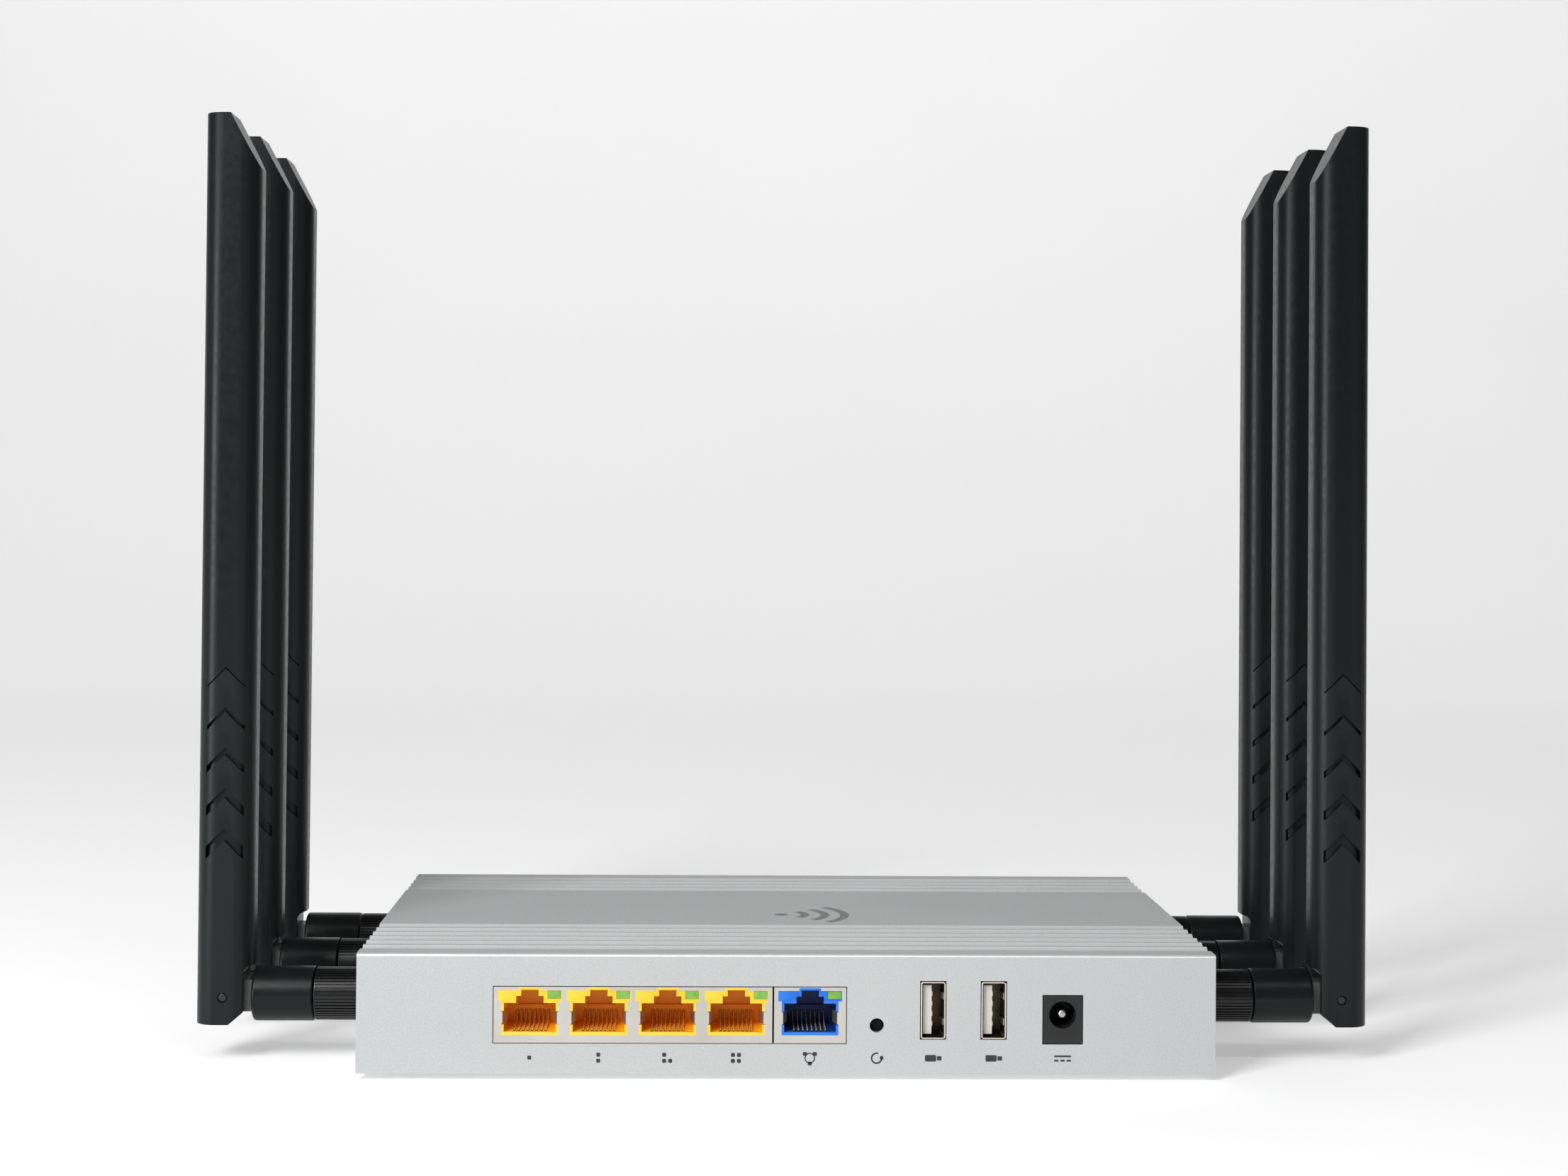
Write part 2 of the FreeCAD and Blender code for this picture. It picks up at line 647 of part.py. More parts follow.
def usb_contacts(x):
    face = usb_tongue_left(x) + USB_TONGUE_T
    middle = BOARD_TOP + USB_RISE + USB_H / 2
    bars = []
    for i in range(USB_CONTACTS):
        z = middle + (i - (USB_CONTACTS - 1) / 2) * USB_CONTACT_PITCH
        bars.append(box(face, face + CONTACT_T, PANEL_Y + USB_TONGUE_SETBACK + USB_CONTACT_SETBACK,
                        PANEL_Y + USB_DEPTH - USB_BACK_T, z - USB_CONTACT_W / 2, z + USB_CONTACT_W / 2))
    return bars


def dc_jack_body():
    body = box(DC_CENTRE_X - DC_W / 2, DC_CENTRE_X + DC_W / 2, PANEL_Y, PANEL_Y + DC_DEPTH,
               BOARD_TOP, BOARD_TOP + DC_H)
    bore = rod(vec(DC_CENTRE_X, PANEL_Y - 1, BOARD_TOP + DC_BORE_RISE), Y_AXIS, DC_BORE_R, DC_BORE_DEPTH + 1)
    return body.cut(bore)


def dc_jack_pin():
    length = DC_BORE_DEPTH - DC_PIN_SETBACK
    return rod(vec(DC_CENTRE_X, PANEL_Y + DC_PIN_SETBACK, BOARD_TOP + DC_BORE_RISE), Y_AXIS, DC_PIN_R, length)


def reset_centre(y):
    return vec(RESET_X, y, BOARD_TOP + RESET_RISE)


def reset_switch():
    front = BOARD_REAR + RESET_SWITCH_GAP
    body = box(RESET_X - RESET_SWITCH_W / 2, RESET_X + RESET_SWITCH_W / 2, front, front + RESET_SWITCH_D,
               BOARD_TOP, BOARD_TOP + RESET_SWITCH_H)
    button_end = PANEL_Y + RESET_SETBACK + RESET_BUTTON_L
    bore = rod(reset_centre(front - 1), Y_AXIS, RESET_BUTTON_R + RESET_BORE_CLEARANCE,
               button_end + RESET_TRAVEL + RESET_BORE_CLEARANCE - front + 1)
    return body.cut(bore)


def reset_button():
    return rod(reset_centre(PANEL_Y + RESET_SETBACK), Y_AXIS, RESET_BUTTON_R, RESET_BUTTON_L)


# ---- antennas, modelled at the right-hand end on y = 0, then turned and moved into their rows ----

def turned(shape, side, y):
    placed = shape.copy()
    if side < 0:
        placed.rotate(vec(0, 0, 0), Z_AXIS, 180)
    placed.translate(vec(0, y, 0))
    return placed


def axis_rod(x0, x1, radius):
    return rod(vec(x0, 0, ANTENNA_Z), X_AXIS, radius, x1 - x0)


def jack_tip():
    return END_FACE + JACK_OUT


def antenna_jack():
    """A threaded bulkhead socket with a flange outside the end plate and a cable tail inside."""
    thread = axis_rod(END_INNER - JACK_IN, jack_tip(), JACK_R)
    flange = axis_rod(END_FACE, END_FACE + JACK_FLANGE_T, JACK_FLANGE_R)
    tail = axis_rod(END_INNER - JACK_IN - JACK_TAIL_L, END_INNER - JACK_IN, JACK_TAIL_R)
    return fuse([thread, flange, tail]).cut(axis_rod(END_FACE, jack_tip() + 1, JACK_BORE_R))


def antenna_jack_core():
    """The white insulator inside the socket, with a hole for the centre contact."""
    sleeve = axis_rod(END_FACE, jack_tip() - JACK_CORE_SETBACK, JACK_BORE_R)
    return sleeve.cut(axis_rod(END_FACE + JACK_CORE_BASE, jack_tip(), JACK_CORE_SOCKET_R))


def antenna_jack_nut():
    nut = hexagon(vec(END_INNER, 0, ANTENNA_Z), -1, JACK_NUT_AF, JACK_NUT_T)
    return nut.cut(axis_rod(END_INNER - JACK_NUT_T - 1, END_INNER + 1, JACK_R))


def collar_bore_end():
    return COLLAR_END - COLLAR_WALL


def knurled_blank():
    """A bar with straight ridges: each ridge has a flat crest and sloping flanks."""
    points = []
    for i in range(KNURLS):
        for part, radius in ((0.0, COLLAR_R), (0.5, COLLAR_R), (0.65, COLLAR_R - KNURL_DEPTH),
                             (0.85, COLLAR_R - KNURL_DEPTH)):
            angle = 2 * math.pi * (i + part) / KNURLS
            points.append(vec(COLLAR_START, radius * math.cos(angle), ANTENNA_Z + radius * math.sin(angle)))
    return prism(points, vec(COLLAR_LENGTH, 0, 0))


def collar():
    """The coupling nut: it turns on the socket's thread and holds the barrel's flange."""
    thread_bore = axis_rod(COLLAR_START - 1, collar_bore_end(), JACK_R + RUNNING_FIT)
    flange_bore = axis_rod(COLLAR_START - 1, END_FACE + JACK_FLANGE_T + COLLAR_GAP, JACK_FLANGE_R + COLLAR_GAP)
    spigot_bore = axis_rod(COLLAR_START, COLLAR_END + 1, SPIGOT_R + RUNNING_FIT)
    return knurled_blank().cut([thread_bore, flange_bore, spigot_bore])


def tongue():
    """A flat tongue on the barrel's end, round about the hinge pin."""
    arm = box(BARREL_END - 1, PIN_X, -TONGUE_T / 2, TONGUE_T / 2,
              ANTENNA_Z - TONGUE_HALF, ANTENNA_Z + TONGUE_HALF)
    end = rod(vec(PIN_X, -TONGUE_T / 2, ANTENNA_Z), Y_AXIS, TONGUE_HALF, TONGUE_T)
    return fuse([arm, end])


def barrel():
    body = axis_rod(BARREL_START, BARREL_END, BARREL_R)
    rim = [e for e in body.Edges if e.Closed and abs(e.CenterOfMass.x - BARREL_END) < 1e-6]
    body = body.makeFillet(BARREL_EDGE_R, rim)
    tip = jack_tip() + SPIGOT_CLEARANCE
    spigot = axis_rod(tip, BARREL_START, SPIGOT_R)
    flange = axis_rod(tip, tip + SPIGOT_FLANGE_T, JACK_R)
    eye = rod(vec(PIN_X, -TONGUE_T, ANTENNA_Z), Y_AXIS, PIN_R + RUNNING_FIT, 2 * TONGUE_T)
    return fuse([body, spigot, flange, tongue()]).cut(eye)


def hinge_pin():
    length = BLADE_T - 2 * PIN_RECESS
    return rod(vec(PIN_X, -length / 2, ANTENNA_Z), Y_AXIS, PIN_R, length)


def blade_outline():
    """The blade seen from the front: bevelled top, relieved and chamfered inner foot."""
    half, low, high = BLADE_W / 2, -BLADE_BELOW_PIN, BLADE_ABOVE_PIN
    points = [(half, low), (half, high), (half - TOP_FLAT, high), (-half, high - BEVEL_H),
              (-half, RELIEF_TOP), (-CHEEK_REACH, RELIEF_TOP), (-CHEEK_REACH, low + CHEEK_CHAMFER_Z),
              (-CHEEK_REACH + CHEEK_CHAMFER_X, low)]
    return [(PIN_X + x, ANTENNA_Z + z) for x, z in points]


def blade_column(inset=0.0):
    """The rounded-rectangle section of the blade over its whole height, or the same set in all round."""
    low, high = ANTENNA_Z - BLADE_BELOW_PIN - 1, ANTENNA_Z + BLADE_ABOVE_PIN + 1
    half_w, half_t = BLADE_W / 2 - inset, BLADE_T / 2 - inset
    column = box(PIN_X - half_w, PIN_X + half_w, -half_t, half_t, low, high)
    return column.makeFillet(BLADE_CORNER_R - inset, edges_along(column, 2))


def foot_column():
    """The fork's own rounded section, narrower on the inner side."""
    low, high = ANTENNA_Z - BLADE_BELOW_PIN - 1, ANTENNA_Z + RELIEF_TOP
    column = box(PIN_X - CHEEK_REACH, PIN_X + BLADE_W / 2, -BLADE_T / 2, BLADE_T / 2, low, high)
    return column.makeFillet(BLADE_CORNER_R, edges_along(column, 2))


def chevron(level, face):
    """One arrow-shaped cutter; the bands get taller towards the hinge."""
    apex = ANTENNA_Z + CHEVRON_FIRST + level * CHEVRON_PITCH
    band = CHEVRON_BAND_MAX - level * CHEVRON_BAND_STEP
    half = CHEVRON_HALF_W
    points = [(0, apex), (half, apex - half), (half, apex - half - band), (0, apex - band),
              (-half, apex - half - band), (-half, apex - half)]
    ring = [(PIN_X + x, z) for x, z in points]
    if face < 0:
        return prism_y(ring, -BLADE_T / 2 - 1, 0)
    return prism_y(ring, 0, BLADE_T / 2 + 1)


def cavity_top():
    return ANTENNA_Z + BLADE_ABOVE_PIN - BEVEL_H - CAVITY_TOP_GAP


def blade():
    """The hollow paddle: a forked foot on the hinge pin, arrow recesses of even depth on both broad faces."""
    outline = prism_y(blade_outline(), -BLADE_T, BLADE_T)
    upper = blade_column().cut(box(0, 2 * PIN_X, -BLADE_T, BLADE_T, -BLADE_T, ANTENNA_Z + RELIEF_TOP))
    body = fuse([upper, foot_column()]).common(outline)
    reach = TONGUE_HALF + SLOT_END_GAP
    half_slot = TONGUE_T / 2 + SLOT_SIDE_GAP
    slot = box(PIN_X - BLADE_W, PIN_X + reach, -half_slot, half_slot,
               ANTENNA_Z - 2 * BLADE_BELOW_PIN, ANTENNA_Z + reach)
    eye = rod(vec(PIN_X, -BLADE_T, ANTENNA_Z), Y_AXIS, PIN_R, 2 * BLADE_T)
    side = CAVITY_SIDE / 2
    cavity = box(PIN_X - side, PIN_X + side, -side, side, ANTENNA_Z + CAVITY_BASE, cavity_top())
    cable_hole = rod(vec(PIN_X, 0, ANTENNA_Z), Z_AXIS, CABLE_HOLE_R, CAVITY_BASE + 1)
    core = blade_column(CHEVRON_DEPTH)
    arrows = [chevron(level, face).cut(core) for level in range(CHEVRONS) for face in (-1, 1)]
    return body.cut([slot, eye, cavity, cable_hole] + arrows)


def radiator():
    """The aerial itself: a strip board that fills the cavity from side to side, on a brass ferrule."""
    base = ANTENNA_Z + CAVITY_BASE
    strip = box(PIN_X - CAVITY_SIDE / 2, PIN_X + CAVITY_SIDE / 2, -RADIATOR_T / 2, RADIATOR_T / 2,
                base, cavity_top())
    ferrule = rod(vec(PIN_X, 0, ANTENNA_Z + RELIEF_TOP), Z_AXIS, RADIATOR_FERRULE_R, CAVITY_SIDE)
    return fuse([strip, ferrule])


def lead_route():
    """From the socket's tail: level, down to the board, then level again to a plug."""
    x0 = END_INNER - JACK_IN - JACK_TAIL_L
    low = BOARD_TOP + LEAD_PLUG_H / 2
    return [vec(x0, 0, ANTENNA_Z), vec(x0 - LEAD_LEVEL_RUN, 0, ANTENNA_Z),
            vec(x0 - LEAD_LEVEL_RUN - LEAD_SLOPE_RUN, 0, low),
            vec(x0 - LEAD_LEVEL_RUN - LEAD_SLOPE_RUN - LEAD_BOARD_RUN, 0, low)]


def rounded_path(points):
    """Straight runs joined by tangent arcs, as large as the shorter run beside each corner allows."""
    edges, start = [], points[0]
    for before, corner, after in zip(points, points[1:], points[2:]):
        back, on = (before - corner).normalize(), (after - corner).normalize()
        trim = 0.45 * min((before - corner).Length, (after - corner).Length)
        turn = math.pi - back.getAngle(on)
        radius = trim / math.tan(turn / 2)
        print("bend radius of a lead", round(radius, 2))
        a, b = corner + back * trim, corner + on * trim
        mid = corner + (back + on).normalize() * (radius / math.cos(turn / 2) - radius)
        edges += [Part.LineSegment(start, a).toShape(), Part.Arc(a, mid, b).toShape()]
        start = b
    edges.append(Part.LineSegment(start, points[-1]).toShape())
    return Part.Wire(edges)


def coax_lead():
    """A thin lead and the little square plug that snaps on the board."""
    route = lead_route()
    circle = Part.Wire([Part.Circle(route[0], X_AXIS, LEAD_R).toShape()])
    tube = rounded_path(route).makePipeShell([circle], True, False)
    end, half = route[-1], LEAD_PLUG_SIDE / 2
    plug = box(end.x - half, end.x + half, -half, half, BOARD_TOP, BOARD_TOP + LEAD_PLUG_H)
    return fuse([tube, plug])


def all_rows(make):
    shape = make()
    return [turned(shape, side, y) for _, side in SIDES for _, y in ROWS]


def save_antennas():
    makers = {"collar": collar, "barrel": barrel, "hinge_pin": hinge_pin, "blade": blade, "radiator": radiator}
    for name, make in makers.items():
        shape = make()
        for side_name, side in SIDES:
            for row_name, y in ROWS:
                save(name + "_" + side_name + "_" + row_name, [turned(shape, side, y)])


def main():
    os.makedirs("parts", exist_ok=True)
    lan, wan = port_centres()
    save("top_cover", [top_cover()])
    save("bottom_plate", [bottom_plate()])
    save("end_plate_left", [end_plate(-1)])
    save("end_plate_right", [end_plate(1)])
    save("case_screws", case_screws())
    save("rubber_feet", rubber_feet())
    save("main_board", [main_board()])
    save("board_standoffs", board_standoffs())
    save("board_screws", board_screws())
    save("board_chips", board_chips())
    save("heat_sink", [heat_sink()])
    save("rf_shield_cans", rf_shield_cans())
    save("status_light_pipes", status_light_pipes())
    save("lan_jack_shield", [jack_shield(lan, LAN_HALF)])
    save("lan_jack_housings", [jack_housing(x) for x in lan])
    save("wan_jack_shield", [jack_shield(wan, WAN_HALF)])
    save("wan_jack_housing", [jack_housing(x) for x in wan])
    save("jack_contacts", [wire for x in lan + wan for wire in contacts(x)])
    save("jack_light_pipes", [light_pipe(x) for x in lan + wan])
    save("usb_shells", [usb_shell(x) for x in USB_CENTRES_X])
    save("usb_tongues", [usb_tongue(x) for x in USB_CENTRES_X])
    save("usb_contacts", [bar for x in USB_CENTRES_X for bar in usb_contacts(x)])
    save("dc_jack_body", [dc_jack_body()])
    save("dc_jack_pin", [dc_jack_pin()])
    save("reset_switch", [reset_switch()])
    save("reset_button", [reset_button()])
    save("antenna_jacks", all_rows(antenna_jack))
    save("antenna_jack_nuts", all_rows(antenna_jack_nut))
    save("antenna_jack_cores", all_rows(antenna_jack_core))
    save("coax_leads", all_rows(coax_lead))
    save_antennas()


main()
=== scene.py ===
import math

import bmesh
import bpy
from mathutils import Matrix, Vector


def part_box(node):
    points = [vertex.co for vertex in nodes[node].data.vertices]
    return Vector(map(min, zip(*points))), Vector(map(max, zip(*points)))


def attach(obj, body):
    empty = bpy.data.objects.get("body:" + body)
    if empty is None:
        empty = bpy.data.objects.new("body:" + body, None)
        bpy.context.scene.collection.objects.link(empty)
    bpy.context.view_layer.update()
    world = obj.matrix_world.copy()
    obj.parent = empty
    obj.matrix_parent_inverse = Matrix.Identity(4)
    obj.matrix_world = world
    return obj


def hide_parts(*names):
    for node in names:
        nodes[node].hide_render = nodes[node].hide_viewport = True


# Desktop wireless router. Metres; the socket panel faces -Y and Z is up.

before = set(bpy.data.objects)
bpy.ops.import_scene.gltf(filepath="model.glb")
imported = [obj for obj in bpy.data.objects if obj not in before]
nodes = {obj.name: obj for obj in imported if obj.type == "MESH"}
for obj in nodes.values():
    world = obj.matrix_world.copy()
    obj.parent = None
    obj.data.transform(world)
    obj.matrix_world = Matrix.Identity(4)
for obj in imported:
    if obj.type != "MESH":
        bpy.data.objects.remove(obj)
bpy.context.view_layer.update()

mm = 0.001
PRINT = 0.02 * mm            # the printed marks stand this far out from the panel
MARK_THICK = 0.06 * mm
MARK_DROP = 3.7 * mm         # the marks' middle line above the cover's lower edge
SHEET = 1.6 * mm             # wall of the folded cover
ROOF = 2.4 * mm
BEND = 0.9 * mm
SOCKET_HALF = 7.8 * mm       # half the width of one network socket
SOCKET_FLOOR = 0.1 * mm      # the sockets' zero height lies this far below the housings
WIRE_PITCH = 1.03 * mm
USB_WIDTH = 5.7 * mm
BARREL_END = 6.6 * mm        # from the barrel's end to the hinge pin's axis
SIDES = (("left", -1), ("right", 1))
ROWS = ("rear", "middle", "front")


# ---- workshop helpers ----

def only(obj):
    """Nothing but this object is selected and active."""
    bpy.ops.object.select_all(action="DESELECT")
    obj.select_set(True)
    bpy.context.view_layer.objects.active = obj


def settle(name):
    """Puts a new primitive's place and size into its mesh and names it."""
    obj = bpy.context.object
    bpy.ops.object.transform_apply(location=True, rotation=True, scale=True)
    obj.name = name
    obj.data.name = name
    return obj


def block(name, low, high):
    bpy.ops.object.select_all(action="DESELECT")
    middle = [(a + b) / 2 for a, b in zip(low, high)]
    size = [b - a for a, b in zip(low, high)]
    bpy.ops.mesh.primitive_cube_add(size=1, location=middle, scale=size)
    return settle(name)


def rod(name, start, axis, radius, length, sides=48):
    """A round bar from a start point along +X, +Y or +Z."""
    bpy.ops.object.select_all(action="DESELECT")
    turn = {"X": (0, math.pi / 2, 0), "Y": (-math.pi / 2, 0, 0), "Z": (0, 0, 0)}[axis]
    middle = Vector(start)
    middle["XYZ".index(axis)] += length / 2
    bpy.ops.mesh.primitive_cylinder_add(vertices=sides, radius=radius, depth=length, location=middle,
                                        rotation=turn)
    return settle(name)


def choose(obj, kind, test):
    """Enters edit mode with the edges or faces that pass the test selected."""
    only(obj)
    bpy.ops.object.mode_set(mode="EDIT")
    bpy.ops.mesh.select_mode(type=kind)
    bpy.ops.mesh.select_all(action="DESELECT")
    mesh = bmesh.from_edit_mesh(obj.data)
    for item in {"FACE": mesh.faces, "EDGE": mesh.edges, "VERT": mesh.verts}[kind]:
        if test(item):
            item.select_set(True)
    bmesh.update_edit_mesh(obj.data)


def leave():
    bpy.ops.object.mode_set(mode="OBJECT")


def along(edge, axis):
    step = edge.verts[1].co - edge.verts[0].co
    return abs(step[axis]) > 0.999 * step.length


def middle_of(edge):
    return (edge.verts[0].co + edge.verts[1].co) / 2


def near(a, b, reach=0.02 * mm):
    return abs(a - b) < reach


def round_edges(obj, test, width, steps):
    choose(obj, "EDGE", test)
    bpy.ops.mesh.bevel(offset=width, offset_type="OFFSET", segments=steps, affect="EDGES", clamp_overlap=True)
    leave()


def slice_off(obj, point, normal):
    """Removes what lies on the normal's side of a plane and closes the cut."""
    choose(obj, "FACE", lambda face: True)
    bpy.ops.mesh.bisect(plane_co=point, plane_no=Vector(normal).normalized(), use_fill=True, clear_outer=True)
    leave()


def split(obj, point, normal):
    """A row of new edges where a plane crosses the whole shape."""
    choose(obj, "FACE", lambda face: True)
    bpy.ops.mesh.bisect(plane_co=point, plane_no=normal)
    leave()


def extrude(step):
    bpy.ops.mesh.extrude_region_move(TRANSFORM_OT_translate={"value": step})


def paint(obj, material, test):
    """A further finish on the faces that pass the test."""
    obj.data.materials.append(material)
    choose(obj, "FACE", test)
    obj.active_material_index = len(obj.data.materials) - 1
    bpy.ops.object.material_slot_assign()
    leave()


def tidy_normals(obj):
    choose(obj, "FACE", lambda face: True)
    bpy.ops.mesh.remove_doubles(threshold=0.001 * mm)
    bpy.ops.mesh.normals_make_consistent(inside=False)
    leave()


def together(name, pieces):
    bpy.ops.object.select_all(action="DESELECT")
    for piece in pieces:
        piece.select_set(True)
    bpy.context.view_layer.objects.active = pieces[0]
    if len(pieces) > 1:
        bpy.ops.object.join()
    pieces[0].name = name
    pieces[0].data.name = name
    return pieces[0]


def combine(obj, tool, operation):
    """Boolean with one tool shape, which is used up."""
    modifier = obj.modifiers.new("combine", "BOOLEAN")
    modifier.operation = operation
    modifier.object = tool
    modifier.solver = "EXACT"
    only(obj)
    bpy.ops.object.modifier_apply(modifier=modifier.name)
    bpy.data.objects.remove(tool)
    return obj


def cut(obj, tool):
    return combine(obj, tool, "DIFFERENCE")


def add(obj, tool):
    return combine(obj, tool, "UNION")


def soften(obj, width, steps=2, angle=34):
    """A small radius on every sharp edge."""
    bevel = obj.modifiers.new("soft edges", "BEVEL")
    bevel.width = width
    bevel.segments = steps
    bevel.limit_method = "ANGLE"
    bevel.angle_limit = math.radians(angle)
    bevel.miter_outer = "MITER_ARC"
    only(obj)
    bpy.ops.object.modifier_apply(modifier=bevel.name)
    return obj


def smooth(obj, angle=40):
    only(obj)
    bpy.ops.object.shade_smooth_by_angle(angle=math.radians(angle))
    weight = obj.modifiers.new("flat faces", "WEIGHTED_NORMAL")
    weight.keep_sharp = True
    bpy.ops.object.modifier_apply(modifier=weight.name)
    return obj


def copy_of(obj, name, turned=False, shift=(0, 0, 0)):
    """A copy with its own mesh, turned half round and moved; its place goes into the mesh."""
    only(obj)
    bpy.ops.object.duplicate(linked=False)
    twin = bpy.context.object
    if turned:
        twin.rotation_euler = (0, 0, math.pi)
    twin.location = shift
    return settle(name)


def centre(node):
    low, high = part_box(node)
    return (low + high) / 2


# ---- finishes ----

class Finish:
    """A procedural surface: soft colour drift, fine grain in colour, roughness and bump, and worn edges."""

    def __init__(self, name, metal=0.0, ior=1.5, sheen_level=0.5):
        self.material = bpy.data.materials.new(name)
        self.material.use_nodes = True
        self.nodes = self.material.node_tree.nodes
        self.links = self.material.node_tree.links
        self.shader = self.nodes["Principled BSDF"]
        self.shader.inputs["Metallic"].default_value = metal
        self.shader.inputs["IOR"].default_value = ior
        self.shader.inputs["Specular IOR Level"].default_value = sheen_level
        self.place = self.nodes.new("ShaderNodeTexCoord").outputs["Object"]

    def noise(self, scale, detail=4.0, rough=0.55, stretch=None):
        source = self.place
        if stretch:
            mapping = self.nodes.new("ShaderNodeMapping")
            mapping.inputs["Scale"].default_value = stretch
            self.links.new(source, mapping.inputs["Vector"])
            source = mapping.outputs["Vector"]
        noise = self.nodes.new("ShaderNodeTexNoise")
        noise.inputs["Scale"].default_value = scale
        noise.inputs["Detail"].default_value = detail
        noise.inputs["Roughness"].default_value = rough
        self.links.new(source, noise.inputs["Vector"])
        return noise.outputs["Fac"]

    def mix(self, share, first, second):
        blend = self.nodes.new("ShaderNodeMix")
        blend.data_type = "RGBA"
        self.links.new(share, blend.inputs["Factor"])
        for socket, value in (("A", first), ("B", second)):
            port = [s for s in blend.inputs if s.name == socket and s.type == "RGBA"][0]
            if isinstance(value, (tuple, list)):
                port.default_value = tuple(value) + (1.0,)
            else:
                self.links.new(value, port)
        return [s for s in blend.outputs if s.type == "RGBA"][0]

    def span(self, value, low, high, start=0.3, end=0.7):
        scale = self.nodes.new("ShaderNodeMapRange")
        scale.inputs["From Min"].default_value = start
        scale.inputs["From Max"].default_value = end
        scale.inputs["To Min"].default_value = low
        scale.inputs["To Max"].default_value = high
        self.links.new(value, scale.inputs["Value"])
        return scale.outputs["Result"]

    def edges(self, sharpness=0.04):
        """Bright where the surface turns outwards."""
        bend = self.nodes.new("ShaderNodeNewGeometry").outputs["Pointiness"]
        return self.span(bend, 0.0, 1.0, 0.5 + sharpness / 4, 0.5 + sharpness)

    def colour(self, value):
        self.links.new(value, self.shader.inputs["Base Color"])

    def roughness(self, value):
        self.links.new(value, self.shader.inputs["Roughness"])

    def bump(self, height, distance, strength=1.0):
        relief = self.nodes.new("ShaderNodeBump")
        relief.inputs["Distance"].default_value = distance
        relief.inputs["Strength"].default_value = strength
        self.links.new(height, relief.inputs["Height"])
        self.links.new(relief.outputs["Normal"], self.shader.inputs["Normal"])


def blasted_metal(name, dull, bright, fleck, metal=0.12, rough=0.46):
    """Silver anodised sheet with a fine sand-blasted speckle."""
    f = Finish(name, metal=metal, sheen_level=0.25)
    drift = f.mix(f.span(f.noise(9, 2), 0, 1), dull, bright)
    speckle = f.noise(3000, 4, 0.75)
    f.colour(f.mix(f.span(speckle, 0, 0.45, 0.38, 0.62), drift, fleck))
    f.roughness(f.span(f.noise(900, 3), rough, rough + 0.1))
    f.bump(f.noise(2600, 3, 0.6), 0.03 * mm, 0.6)
    return f.material


def moulded(name, colour, second, rough, spread, grain=1500, depth=0.02, worn=None, gloss=0.5):
    """Moulded plastic or rubber with a fine spark-eroded texture."""
    f = Finish(name, sheen_level=gloss)
    base = f.mix(f.span(f.noise(14, 3), 0, 1), colour, second)
    if worn:
        base = f.mix(f.span(f.edges(0.06), 0, 0.6, 0, 1), base, worn)
    f.colour(base)
    f.roughness(f.span(f.noise(grain / 3, 3), rough - spread, rough + spread))
    f.bump(f.noise(grain, 3, 0.6), depth * mm, 0.6)
    return f.material


def plated(name, colour, second, rough, spread, stretch=None, metal=1.0):
    """Bare or plated metal with faint drawing lines."""
    f = Finish(name, metal=metal)
    lines = f.noise(700, 4, 0.6, stretch or (1, 1, 1))
    f.colour(f.mix(f.span(f.noise(60, 3), 0, 1), colour, second))
    f.roughness(f.span(lines, rough - spread, rough + spread))
    f.bump(lines, 0.008 * mm, 0.5)
    return f.material


def clear_plastic(name, colour, second, rough, share):
    """Translucent moulded lens."""
    f = Finish(name, ior=1.49)
    f.shader.inputs["Transmission Weight"].default_value = share
    f.colour(f.mix(f.span(f.noise(500, 3), 0, 1), colour, second))
    f.roughness(f.span(f.noise(900, 3), rough, rough + 0.1))
    f.bump(f.noise(700, 2), 0.01 * mm, 0.5)
    return f.material


METAL = blasted_metal("case_metal", (0.42, 0.435, 0.44), (0.47, 0.48, 0.485), (0.66, 0.67, 0.67))
# Lighter copy of the case metal for the groove faces: painted light, standing for the lamps falling on the
# groove walls.
METAL_GROOVE_PAINTED_LIGHT = blasted_metal("case_metal_groove_painted_light", (0.58, 0.595, 0.60), (0.64, 0.65, 0.655),
                             (0.80, 0.81, 0.81))
# Bright, glossier copy of the case metal for the front bend: a painted highlight standing for the lamp's
# reflection along the bend.
METAL_BEND_PAINTED_HIGHLIGHT = blasted_metal("case_metal_bend_painted_highlight", (0.80, 0.81, 0.81), (0.88, 0.88, 0.88), (0.95, 0.95, 0.95),
                           0.5, 0.30)
ANTENNA = moulded("antenna_black", (0.0042, 0.0052, 0.0056), (0.0060, 0.0072, 0.0077), 0.33, 0.05, 1800, 0.02,
                  (0.011, 0.013, 0.014), 0.20)
KNURL = moulded("knurl_black", (0.004, 0.0045, 0.0045), (0.006, 0.0065, 0.0065), 0.32, 0.06, 1400, 0.01,
                gloss=0.45)
PIN = moulded("pin_black", (0.006, 0.006, 0.007), (0.011, 0.011, 0.012), 0.35, 0.08)
# Lighter grey copy of the black antenna plastic for the barrel's tongue: painted light, standing for the lamp
# falling on the tongue.
TONGUE_PAINTED_LIGHT = moulded("tongue_black_painted_light", (0.028, 0.030, 0.032), (0.038, 0.040, 0.042), 0.42, 0.06, 1500, 0.02,
                (0.09, 0.09, 0.09))
YELLOW = moulded("yellow_plastic", (0.78, 0.49, 0.012), (0.82, 0.54, 0.020), 0.38, 0.06, 1200, 0.015,
                 (0.88, 0.66, 0.08), 0.35)
BLUE = moulded("blue_plastic", (0.008, 0.10, 0.55), (0.012, 0.13, 0.62), 0.36, 0.06, 1200, 0.015,
               (0.03, 0.24, 0.80), 0.35)
